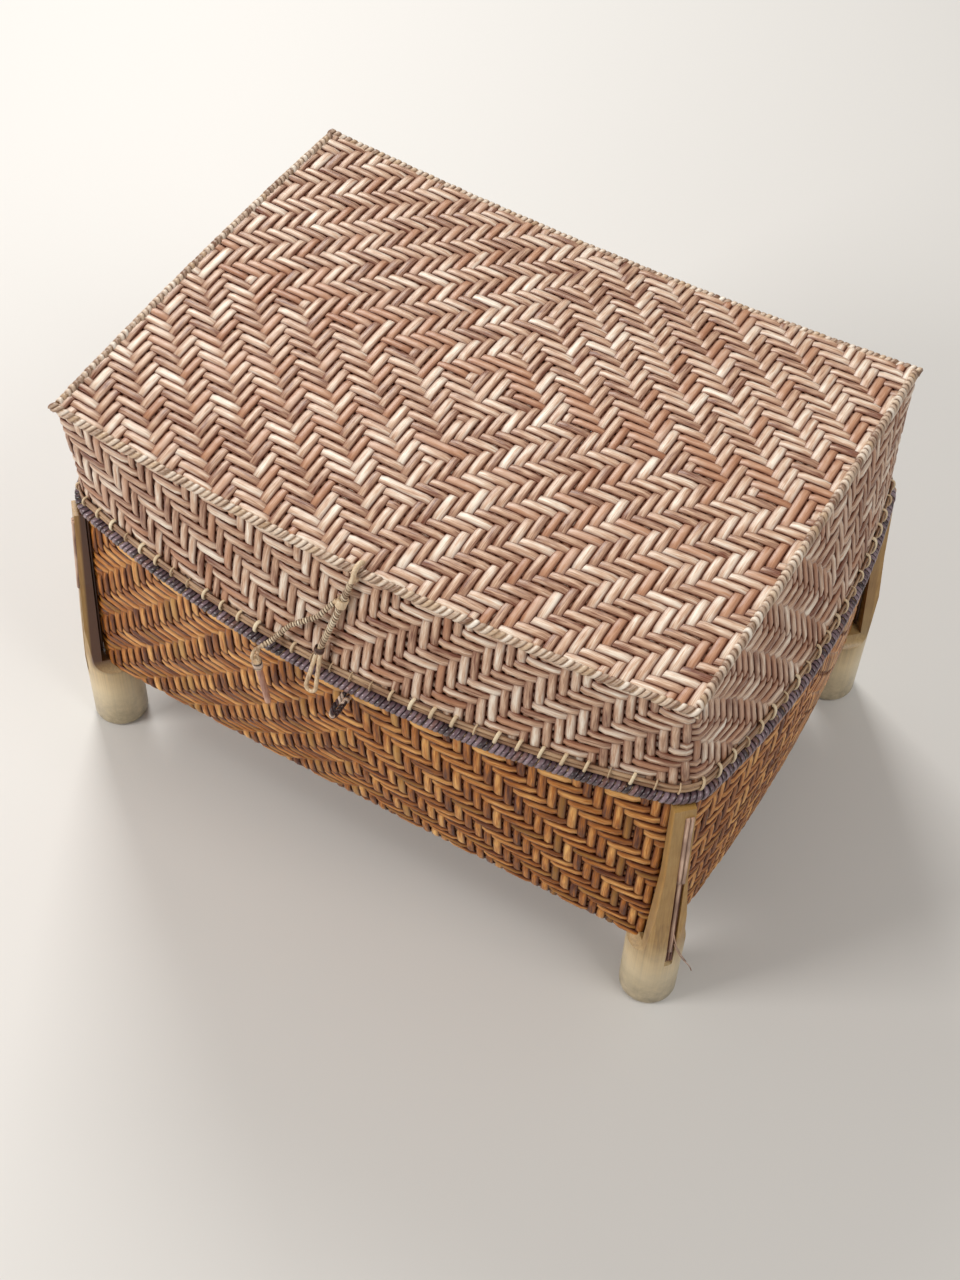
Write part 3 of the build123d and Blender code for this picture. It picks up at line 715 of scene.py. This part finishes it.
chance2 = chance_of(wound, number, calc(wound, "ADD", given["Seed"], 5.0))
angle = calc(wound, "MULTIPLY", turn, 2 * math.pi)
cosine, sine = calc(wound, "COSINE", angle), calc(wound, "SINE", angle)
shift = calc(wound, "MULTIPLY", calc(wound, "SUBTRACT", chance, 0.5), given["Wander"])
shift = calc(wound, "MULTIPLY", shift, given["Pitch"])
shift = calc(wound, "MULTIPLY", shift, calc(wound, "MULTIPLY_ADD", cosine, 0.5, 0.5))
lean = calc(wound, "MULTIPLY", sine, given["Lean"])
slide = calc(wound, "ADD", calc(wound, "MULTIPLY_ADD", run, length, shift), lean)
half_strip = calc(wound, "MULTIPLY", calc(wound, "MULTIPLY", given["Pitch"], given["Cover"]), -0.5)
slide = calc(wound, "MULTIPLY_ADD", local[0], half_strip, slide)
slide = calc(wound, "MINIMUM", calc(wound, "MAXIMUM", slide, 0.0), length)
sample = add(wound, "GeometryNodeSampleCurve", {"Curves": path, "Length": slide}, mode="LENGTH").outputs
tangent = vector(wound, "NORMALIZE", sample["Tangent"])
side = vector(wound, "NORMALIZE", vector(wound, "CROSS_PRODUCT", tangent, given["Reference"]))
upward = vector(wound, "CROSS_PRODUCT", side, tangent)
half_thick = calc(wound, "MULTIPLY", given["Thickness"], 0.5)
proud = calc(wound, "MULTIPLY", calc(wound, "SUBTRACT", local[1], 1.0), half_thick)
sunk = calc(wound, "SUBTRACT", chance2, 1.0)
proud = calc(wound, "MULTIPLY_ADD", sunk, calc(wound, "MULTIPLY", half_thick, 0.5), proud)
target = sample["Position"]
for direction, size, swing in ((side, "Half width", cosine), (upward, "Half height", sine)):
    boxy = calc(wound, "POWER", calc(wound, "ABSOLUTE", swing), given["Boxiness"])
    boxy = calc(wound, "MULTIPLY", boxy, calc(wound, "SIGN", swing))
    reach = calc(wound, "MULTIPLY", boxy, calc(wound, "ADD", given[size], proud))
    target = vector(wound, "ADD", target, vector(wound, "SCALE", direction, Scale=reach))
pi_in_mm = 3141.6
girth = calc(wound, "MULTIPLY", calc(wound, "ADD", given["Half width"], given["Half height"]), pi_in_mm)
along = calc(wound, "MULTIPLY", turn, girth)
# Turns that lie deeper get a lower lift, which the cane fibre group darkens as painted shade
lift = calc(wound, "MULTIPLY_ADD", chance2, 0.6, 0.4)
mesh = keep_values(wound, rod, {"strand": chance, "across": local[0], "along": along, "lift": lift})
end_tree(wound, mesh, target)


def line_mesh(name, points):
    """A chain of edges through points in millimetres."""
    made = bpy.data.meshes.new(name)
    made.from_pydata([tuple(np.array(q) * mm) for q in points], [(k, k + 1) for k in range(len(points) - 1)], [])
    return made


def wound_piece(name, points, body, node, values):
    piece = grown_piece(name, line_mesh(name + " line", points), wound, values)
    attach(piece, body)
    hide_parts(node)


# Rim binding: dark split cane wound round the rim's round cane, its flat cane and the wall between.
# It is the widest and flattest winding of the box, and glossy.
def rim_row(z, shares, grow):
    """The rim's outline at a height, larger all round by so much."""
    length, width = rim_length + 2 * grow, rim_width + 2 * grow
    return outline_row(length, width, rim_long_bulge, rim_short_bulge, max(rim_radius + grow, 2), z, shares)


rim_cane_dark = cane_material(
    "rim cane",
    [(0.36, 0.26, 0.30), (0.15, 0.085, 0.105), (0.020, 0.010, 0.013), (0.26, 0.12, 0.09)],
    spread=0.8,
    edge=0.9,
    coat=1.0,
)
binding_out, binding_in = 6.7, 7.6
rim_height = 224.8
wound_piece(
    "rim_winding",
    rim_row(rim_height, ring_shares(3)[0], (binding_out - binding_in) / 2),
    "base",
    "rim_binding",
    {
        "Pitch": 0.0036,
        "Half width": 0.00715,
        "Half height": 0.0037,
        "Boxiness": 0.62,
        "Thickness": 0.0012,
        "Lean": 0.0012,
        "Steps": 16,
        "Seed": 41,
        "Material": rim_cane_dark,
    },
)

# Edge bindings: straw-coloured split cane wound slantwise round the lid's four edge canes.
# The canes bow outwards, and follow the sag of the long edges and the rise of the right end.
edge_cane = cane_material(
    "edge cane",
    [(0.93, 0.85, 0.74), (0.70, 0.54, 0.40), (0.20, 0.10, 0.06), (0.60, 0.42, 0.25)],
    spread=0.7,
    edge=0.9,
)
edge_x, edge_y, edge_height = 218.6, 155.6, 319.1
edges = []
for word, side_y, sag, bow in (("front", -1, 9.0, 6.27), ("back", 1, 18.0, 9.5)):
    line = []
    for x in np.linspace(-222.0, 222.0, 75):
        g = x / 220.0
        line.append((x, side_y * (edge_y + bow * (1 - g * g)), edge_height - sag * (1 - g * g)))
    edges.append((word, line, 43))
for word, side_x, rise in (("left", -1, 0.0), ("right", 1, 8.0)):
    line = []
    for y in np.linspace(-153.0, 153.0, 61):
        g = y / edge_y
        line.append((side_x * (edge_x + 3.0 * (1 - g * g)), y, edge_height + rise * (1 - g * g)))
    edges.append((word, line, 47))
for word, line, seed in edges:
    wound_piece(
        f"edge_winding_{word}",
        line,
        "lid",
        f"lid_edge_wrap_{word}",
        {
            "Pitch": 0.0043,
            "Half width": 0.0034,
            "Half height": 0.0034,
            "Thickness": 0.0018,
            "Lean": 0.0018,
            "Steps": 12,
            "Seed": seed,
            "Material": edge_cane,
        },
    )


# Plain cane: the strap, the tether, the hinge rings, the peg's loop and the canes inside bindings.
# These solids come from the CAD as they are, and their looks go by object coordinates in metres.
def solid_material(name, pale, middle, deep, grain=(900, 900, 60), coat=0.2, rough=0.42, bump=0.35):
    made = bpy.data.materials.new(name)
    made.use_nodes = True
    tree = made.node_tree
    look = tree.nodes["Principled BSDF"]
    place = add(tree, "ShaderNodeTexCoord").outputs["Object"]
    fibres = noise(tree, vector(tree, "MULTIPLY", place, grain), 1.0, 4.0, 0.6)
    tone = spread_of(tree, fibres, 1.5, noise(tree, place, 60.0, 3.0))
    raised = add(tree, "ShaderNodeBump", {"Strength": bump, "Distance": 0.0005, "Height": fibres})
    tree.links.new(three_tones(tree, tone, (*deep, 1), (*middle, 1), (*pale, 1)), look.inputs["Base Color"])
    tree.links.new(calc(tree, "MULTIPLY_ADD", fibres, 0.2, rough - 0.1), look.inputs["Roughness"])
    tree.links.new(raised.outputs[0], look.inputs["Normal"])
    look.inputs["Coat Weight"].default_value = coat
    look.inputs["Coat Roughness"].default_value = 0.35
    return made


def dress(material, *nodes):
    for node in nodes:
        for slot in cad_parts[node].material_slots:
            slot.material = material


straw_solid = solid_material("straw cane", (0.88, 0.75, 0.54), (0.66, 0.48, 0.30), (0.26, 0.13, 0.07))
inner_solid = solid_material("inner cane", (0.52, 0.38, 0.24), (0.32, 0.19, 0.10), (0.10, 0.05, 0.025))
dress(straw_solid, "hasp_core", "tether_core", "hinge_ring_left", "hinge_ring_right", "peg_loop")
dress(inner_solid, "rim_cane", "rim_strip", "staple_core", *[f"lid_edge_rod_{word}" for word, line, seed in edges])

# Peg: a peeled rod, reddish brown on one side and pale on the other.
# It hangs in its tie from the tether's ring, and goes through the staple to lock the box.
peg_solid = solid_material(
    "peg cane", (0.82, 0.54, 0.42), (0.46, 0.22, 0.15), (0.16, 0.05, 0.04), grain=(1400, 1400, 50)
)
dress(peg_solid, "peg_rod")

# Legs: cane poles, pared above the basket's bottom to a tongue that stands against its corner.
# The rind is pale at the foot and darker in blotches towards its end, the pared part is brown and fibrous,
# and what lies further in than its outer face is darkened as painted shade, less so on the right.
legs = {"front_left": (-1, -1), "front_right": (1, -1), "back_left": (-1, 1), "back_right": (1, 1)}
foot_x, foot_y = 218, 147
pole = solid_material(
    "leg pole",
    (0.66, 0.47, 0.21),
    (0.45, 0.27, 0.085),
    (0.17, 0.08, 0.02),
    grain=(900, 900, 7),
    bump=0.25,
    rough=0.38,
)
tree = pole.node_tree
look = tree.nodes["Principled BSDF"]
place = add(tree, "ShaderNodeTexCoord").outputs["Object"]
x, y, z = split_up(tree, place)
# Painted shade: what lies deeper than the tongue's outer face, in the slot and on the sides against the basket, is
# darkened, fully on the left legs and less on the right
from_x = calc(tree, "SUBTRACT", calc(tree, "ABSOLUTE", x), foot_x * mm)
from_y = calc(tree, "SUBTRACT", calc(tree, "ABSOLUTE", y), foot_y * mm)
out = calc(tree, "MULTIPLY", calc(tree, "ADD", from_x, from_y), 0.7071)
face = calc(tree, "MULTIPLY_ADD", calc(tree, "SUBTRACT", z, 0.066), -0.0714, 0.0192)
inside = ramp(tree, calc(tree, "SUBTRACT", face, out), 0.0022, 0.0040)
recess_shade_share = calc(tree, "MULTIPLY", ramp(tree, z, 0.062, 0.074), ramp(tree, x, 0.0, 0.1, 1.0, 0.3))
green = ramp(tree, noise(tree, place, 14.0, 2.0), 0.48, 0.66)
# Darker in blotches towards the end of the pole, within its lowest 45 mm
low_darkening = calc(tree, "MULTIPLY", ramp(tree, z, 0.045, 0.0), noise(tree, place, 150.0, 5.0, 0.7))
colour = look.inputs["Base Color"].links[0].from_socket
for share, amount, shade in (
    (ramp(tree, z, 0.085, 0.035), 0.75, (0.86, 0.74, 0.50, 1)),
    (green, 0.25, (0.38, 0.33, 0.13, 1)),
    (ramp(tree, z, 0.062, 0.11), 0.6, (0.42, 0.22, 0.05, 1)),
    # painted shade in the recesses, weaker on the right legs
    (inside, recess_shade_share, (0.10, 0.035, 0.012, 1)),
    (low_darkening, 1.3, (0.16, 0.13, 0.09, 1)),
):
    colour = blend(tree, calc(tree, "MULTIPLY", share, amount), colour, shade)
tree.links.new(colour, look.inputs["Base Color"])
dress(pole, *[f"leg_{word}" for word in legs])


# Leg splines: pinkish brown split cane, laid as two strips in the upper part of each leg's slot.
# Below them the pole's own torn fibres and its pith show, to where the slot runs out.
def leg_strip(name, corner, route, half_width, columns, values):
    """Flat cane beside a leg, along a route of outward, sideways and height from the leg's foot."""
    side_x, side_y = corner
    outward = Vector((side_x, side_y, 0)).normalized()
    sideways = Vector((-outward.y, outward.x, 0))
    rows = []
    for reach, aside, z in route:
        row = []
        for c in np.linspace(-half_width, half_width, columns):
            spot = Vector((foot_x * side_x, foot_y * side_y, 0)) + outward * reach + sideways * (aside + c)
            row.append((spot.x, spot.y, z))
        rows.append(row)
    guide = guide_mesh(name + " guide", rows, np.linspace(0, 1, columns), np.linspace(0, 1, len(rows)))
    return grown_piece(name, guide, woven, {"Down the wall": True, "Wave": 0.0} | values)


slot_cane = cane_material(
    "slot cane",
    [(0.46, 0.22, 0.14), (0.22, 0.060, 0.035), (0.05, 0.012, 0.010), (0.25, 0.10, 0.07)],
    grain=1.3,
    spread=0.8,
)
strip_cane = cane_material(
    "strip cane",
    [(0.80, 0.58, 0.44), (0.52, 0.31, 0.21), (0.12, 0.045, 0.03), (0.40, 0.22, 0.15)],
    grain=1.3,
    spread=0.6,
)
face_low, face_tip = 19.2, 8.16
slope = (face_tip - face_low) / (220.6 - 66)
slot_aside = 3.2
for word, corner in legs.items():
    for kind, top, low, sink, strands, thick, half, fill, node in (
        ("spline_strips", 213.0, 147.0, -0.8, 2, 0.0036, 2.7, strip_cane, f"leg_spline_{word}"),
        ("slot_fibres", 149.0, 56.0, 1.9, 3, 0.0020, 2.7, slot_cane, None),
        ("slot_pith", 150.0, 68.0, 0.9, 1, 0.0018, 1.4, strip_cane, None),
    ):
        piece = leg_strip(
            f"{kind}_{word}",
            corner,
            [(face_low + slope * (z - 66) - sink, slot_aside, z) for z in np.linspace(top, low, 9)],
            half,
            5,
            {
                "Strands": strands,
                "Crossings": 10,
                "Cover": 1.05,
                "Thickness": thick,
                "Depth": 0.0009,
                "Wander": 0.25,
                "Seed": 91 + strands,
                "Material": fill,
            },
        )
        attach(piece, "base")
        if node:
            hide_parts(node)

# Splinters: two torn fibres of the front right leg's cane that stick out of its slot.
# They hang to the right in a soft bend, over the pole's round part.
bare_strip = {"Strands": 1, "Cover": 1.0, "Depth": 0.0, "Wander": 0.0}
for number, corners in enumerate(
    (
        [(19.2, 3.0, 92), (20.6, 6.5, 76), (19.8, 11.5, 62), (18.8, 15.5, 52)],
        [(19.2, 4.4, 80), (21.0, 10.0, 64), (20.0, 16.5, 50), (18.5, 21.0, 37)],
    )
):
    bend = np.polyfit((0, 1, 2, 3), np.array(corners), 3)
    piece = leg_strip(
        f"splinter_{number + 1}",
        legs["front_right"],
        [np.polyval(bend, t) for t in np.linspace(0, 3, 12)],
        0.4,
        2,
        bare_strip | {"Crossings": 12, "Thickness": 0.0007, "Seed": 99, "Material": strip_cane},
    )
    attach(piece, "base")

# Shade in the legs' gaps: a dark strip of cane, coloured as painted shade, in the gap between each tongue and the
# basket's corner.
# The photograph shows only a dark line there, so what fills the real gap is a guess.
gap_shade_cane = cane_material(
    "gap shade cane",
    [(0.26, 0.12, 0.06), (0.13, 0.05, 0.022), (0.03, 0.010, 0.005), (0.2, 0.09, 0.04)],
    coat=0.0,
)
gap_low, gap_tip, gap_depth = 8.2, 1.36, 1.5
for word, corner in legs.items():
    piece = leg_strip(
        f"leg_packing_{word}",
        corner,
        [(mix(gap_low, gap_tip, (z - 73) / 147.6) - gap_depth, 0.0, z) for z in np.linspace(219.5, 76.0, 9)],
        6.8,
        5,
        bare_strip | {"Crossings": 10, "Thickness": 0.0028, "Seed": 97, "Material": gap_shade_cane},
    )
    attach(piece, "base")


# Hem: two flat canes laid round the lid's foot outside, one above the other, and one inside.
# They clamp the ends of the lid's stakes, and are sewn on with the stitches of the next section.
hem_cane = cane_material(
    "hem cane",
    [(0.74, 0.56, 0.36), (0.48, 0.30, 0.17), (0.18, 0.08, 0.04), (0.34, 0.18, 0.09)],
    spread=0.7,
    edge=0.7,
)
vs = [k / 4 for k in range(5)]
for name, grow, count, node, seed in (
    ("hem_canes_outer", 2.2, 2, "hem_band_outer", 61),
    ("hem_canes_inner", -6.6, 1, "hem_band_inner", 63),
):
    rows = [rim_row(hem_top + 0.4 - v * (hem_top - lid_low - 0.2), shares, grow) for v in vs]
    if grow < 0:
        rows = [row[::-1] for row in rows]
    piece = grown_piece(
        name,
        guide_mesh(name + " guide", rows, us, vs),
        woven,
        {
            "Strands": count,
            "Crossings": strands_round,
            "Down the wall": False,
            "Cover": 1.0,
            "Wave": 0.0,
            "Depth": 0.0008,
            "Cell": 6.8,
            "Seed": seed,
            "Material": hem_cane,
        },
    )
    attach(piece, "lid")
    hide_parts(node)

# Hem stitches: short hooks of pale split cane that sew the hem's canes to the lid.
# Each goes in above the canes and out below them, about one every 14 mm.
stitched, given, result = group_tree(
    "hem stitches",
    "GeometryNodeTree",
    [
        ("Path", SHAPE, None),
        ("Spacing", NUMBER, 0.0139),
        ("Height", NUMBER, 0.0085),
        ("Reach", NUMBER, 0.0027),
        ("Half width", NUMBER, 0.0008),
        ("Seed", COUNT, 1),
        ("Material", MATERIAL, None),
    ],
    [("Geometry", SHAPE)],
)
path = add(stitched, "GeometryNodeMeshToCurve", {"Mesh": given["Path"]}).outputs[0]
sockets = {"Curve": path, "Length": given["Spacing"]}
path = add(stitched, "GeometryNodeResampleCurve", sockets, mode="LENGTH").outputs[0]
tangent = add(stitched, "GeometryNodeInputTangent").outputs[0]
outward = vector(stitched, "CROSS_PRODUCT", tangent, (0, 0, 1))
turned = add(stitched, "FunctionNodeAlignRotationToVector", {"Vector": outward}, axis="Y", pivot_axis="Z")
hook_points = {}
for label, aside, reach, up in (
    ("Start", -0.10, -0.5, 0.62),
    ("Start Handle", -0.06, 1.25, 0.85),
    ("End Handle", 0.12, 1.0, -0.62),
    ("End", 0.10, -0.4, -0.50),
):
    hook_points[label] = point(
        stitched,
        calc(stitched, "MULTIPLY", given["Height"], aside),
        calc(stitched, "MULTIPLY", given["Reach"], reach),
        calc(stitched, "MULTIPLY", given["Height"], up),
    )
hook = add(stitched, "GeometryNodeCurvePrimitiveBezierSegment", {"Resolution": 12} | hook_points).outputs[0]
section = {"Resolution": 8, "Radius": given["Half width"]}
section = add(stitched, "GeometryNodeCurvePrimitiveCircle", section).outputs[0]
sockets = {"Curve": hook, "Profile Curve": section, "Fill Caps": True}
hook = add(stitched, "GeometryNodeCurveToMesh", sockets).outputs[0]
hook = keep_values(stitched, hook, {"across": 0.0})
chance = chance_of(stitched, add(stitched, "GeometryNodeInputIndex").outputs[0], given["Seed"])
wide = calc(stitched, "MULTIPLY_ADD", chance, 1.2, 0.5)
tall = calc(stitched, "MULTIPLY_ADD", chance, 0.3, 0.8)
sockets = {"Points": path, "Instance": hook, "Rotation": turned.outputs[0], "Scale": point(stitched, wide, 1.0, tall)}
many = add(stitched, "GeometryNodeInstanceOnPoints", sockets).outputs[0]
along = calc(stitched, "MULTIPLY", chance, 40.0)
many = keep_values(stitched, many, {"strand": chance, "along": along, "lift": 1.0}, domain="INSTANCE")
dress_tree(stitched, add(stitched, "GeometryNodeSetShadeSmooth", {"Geometry": many}).outputs[0])

stitch_cane = cane_material(
    "stitch cane",
    [(0.94, 0.84, 0.62), (0.74, 0.58, 0.38), (0.36, 0.22, 0.12), (0.6, 0.44, 0.28)],
    edge=0.3,
)
stitch_line = line_mesh("stitch line", rim_row(232.9, ring_shares(3)[0], 1.5))
piece = grown_piece("hem_stitches", stitch_line, stitched, {"Seed": 71, "Material": stitch_cane})
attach(piece, "lid")


# Strap: a bent cane that loops round the lid's bound front edge, wound down to its eye.
# A short dark tie below the winding draws the eye's neck together. Both stand on the CAD's routes.
def between(a, b, distance):
    return tuple(Vector(a) + (Vector(b) - Vector(a)).normalized() * distance)


straw_bound = cane_material(
    "straw binding",
    [(0.94, 0.86, 0.68), (0.74, 0.59, 0.40), (0.13, 0.055, 0.03), (0.45, 0.28, 0.16)],
    spread=0.6,
    edge=1.5,
)
strap_top, strap_knee, strap_foot = (4.04, -167.3, 310.1), (-3.96, -174.45, 278.1), (-11.36, -183.36, 249.1)
wound_piece(
    "hasp_winding",
    [between(strap_top, strap_knee, 4.2), strap_knee, between(strap_foot, strap_knee, 3.4)],
    "hasp",
    "hasp_wrap",
    {
        "Pitch": 0.0021,
        "Half width": 0.0024,
        "Half height": 0.0024,
        "Thickness": 0.0012,
        "Lean": 0.0008,
        "Steps": 12,
        "Seed": 81,
        "Reference": (1, 0, 0),
        "Material": straw_bound,
    },
)
tie_cane = cane_material(
    "dark tie",
    [(0.40, 0.26, 0.18), (0.17, 0.085, 0.06), (0.04, 0.018, 0.012), (0.3, 0.2, 0.12)],
    spread=0.8,
    edge=0.7,
)
to_left, to_front = math.radians(2.5), math.radians(18.5)
eye_down = Vector((-math.sin(to_left), -math.sin(to_front), -math.cos(to_front))).normalized()
half_tie = 2.2
wound_piece(
    "collar_winding",
    [tuple(Vector(strap_foot) + eye_down * end) for end in (-half_tie, half_tie)],
    "hasp",
    "hasp_collar",
    {
        "Pitch": 0.0011,
        "Half width": 0.0036,
        "Half height": 0.0034,
        "Thickness": 0.0009,
        "Lean": 0.0003,
        "Steps": 14,
        "Seed": 83,
        "Reference": (1, 0, 0),
        "Material": tie_cane,
    },
)


# Tether: a stiff cane bound with the same straw-coloured strip, which carries the peg.
# It turns on the strap by a sleeve at one end, and ends in a ring for the peg's tie.
def rounded_route(points, radius, step=6):
    """A polyline with arcs at its corners."""
    points = [Vector(q) for q in points]
    made = [points[0]]
    for a, b, c in zip(points, points[1:], points[2:]):
        back, on = (a - b).normalized(), (c - b).normalized()
        turn = math.pi - back.angle(on)
        reach = radius * math.tan(turn / 2)
        start, stop = b + back * reach, b + on * reach
        centre = b + (back + on).normalized() * (radius / math.cos(turn / 2))
        first, last = (start - centre).normalized(), (stop - centre).normalized()
        for k in range(step + 1):
            made.append(centre + first.slerp(last, k / step) * radius)
    return [tuple(q) for q in made + [points[-1]]]


tether_start, tether_end = (-4.96, -172.1, 288.8), (-51.5, -191.9, 232.4)
tether_corners = [(-15.0, -177.8, 272.5), (-33.5, -181.8, 256.0), (-45.0, -186.3, 238.0)]
bound_start = between(tether_start, tether_corners[0], 3.0)
bound_end = between(tether_end, tether_corners[2], 3.0)
tether_bend = 12.0
wound_piece(
    "tether_winding",
    rounded_route([bound_start, *tether_corners, bound_end], tether_bend),
    "tether",
    "tether_wrap",
    {
        "Pitch": 0.0023,
        "Half width": 0.0020,
        "Half height": 0.0020,
        "Thickness": 0.0013,
        "Lean": 0.0009,
        "Steps": 12,
        "Seed": 85,
        "Reference": (0, 1, 0),
        "Material": straw_bound,
    },
)

# Staple: a cane bent to a square loop, with both its ends in the basket's wall under the rim.
# It is bound with a strip that is dark in places and pale in others.
staple_bound = cane_material(
    "staple binding",
    [(0.84, 0.66, 0.54), (0.24, 0.12, 0.11), (0.03, 0.015, 0.018), (0.6, 0.45, 0.35)],
    spread=2.2,
    edge=0.7,
)
staple_route = [(6.5, -175.4, 218.7), (6.5, -199.2, 218.7), (6.5, -199.2, 209.5), (6.5, -175.4, 209.5)]
staple_bend = 4.55
wound_piece(
    "staple_winding",
    rounded_route(staple_route, staple_bend, 12),
    "base",
    "staple_wrap",
    {
        "Pitch": 0.0030,
        "Half width": 0.0020,
        "Half height": 0.0020,
        "Thickness": 0.0012,
        "Lean": 0.0010,
        "Steps": 12,
        "Seed": 87,
        "Reference": (1, 0, 0),
        "Material": staple_bound,
    },
)

# Tie of the peg: a few loose turns of the same dark and pale strip round the peg's neck.
# They lie over the sleeve of its loop, which hooks into the tether's ring.
peg_down = Vector((0.0520, 0.1044, -0.9932))
tie_line = [tuple(Vector((-51.3, -194.1, 222.3)) + peg_down * (0.3 + k)) for k in (0.0, 3.0, 6.2)]
piece = grown_piece(
    "peg_tie",
    line_mesh("peg tie line", tie_line),
    wound,
    {
        "Pitch": 0.0016,
        "Half width": 0.0035,
        "Half height": 0.0035,
        "Thickness": 0.0012,
        "Lean": 0.0007,
        "Steps": 14,
        "Wander": 0.4,
        "Seed": 89,
        "Reference": (1, 0, 0),
        "Material": staple_bound,
    },
)
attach(piece, "peg")


low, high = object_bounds()
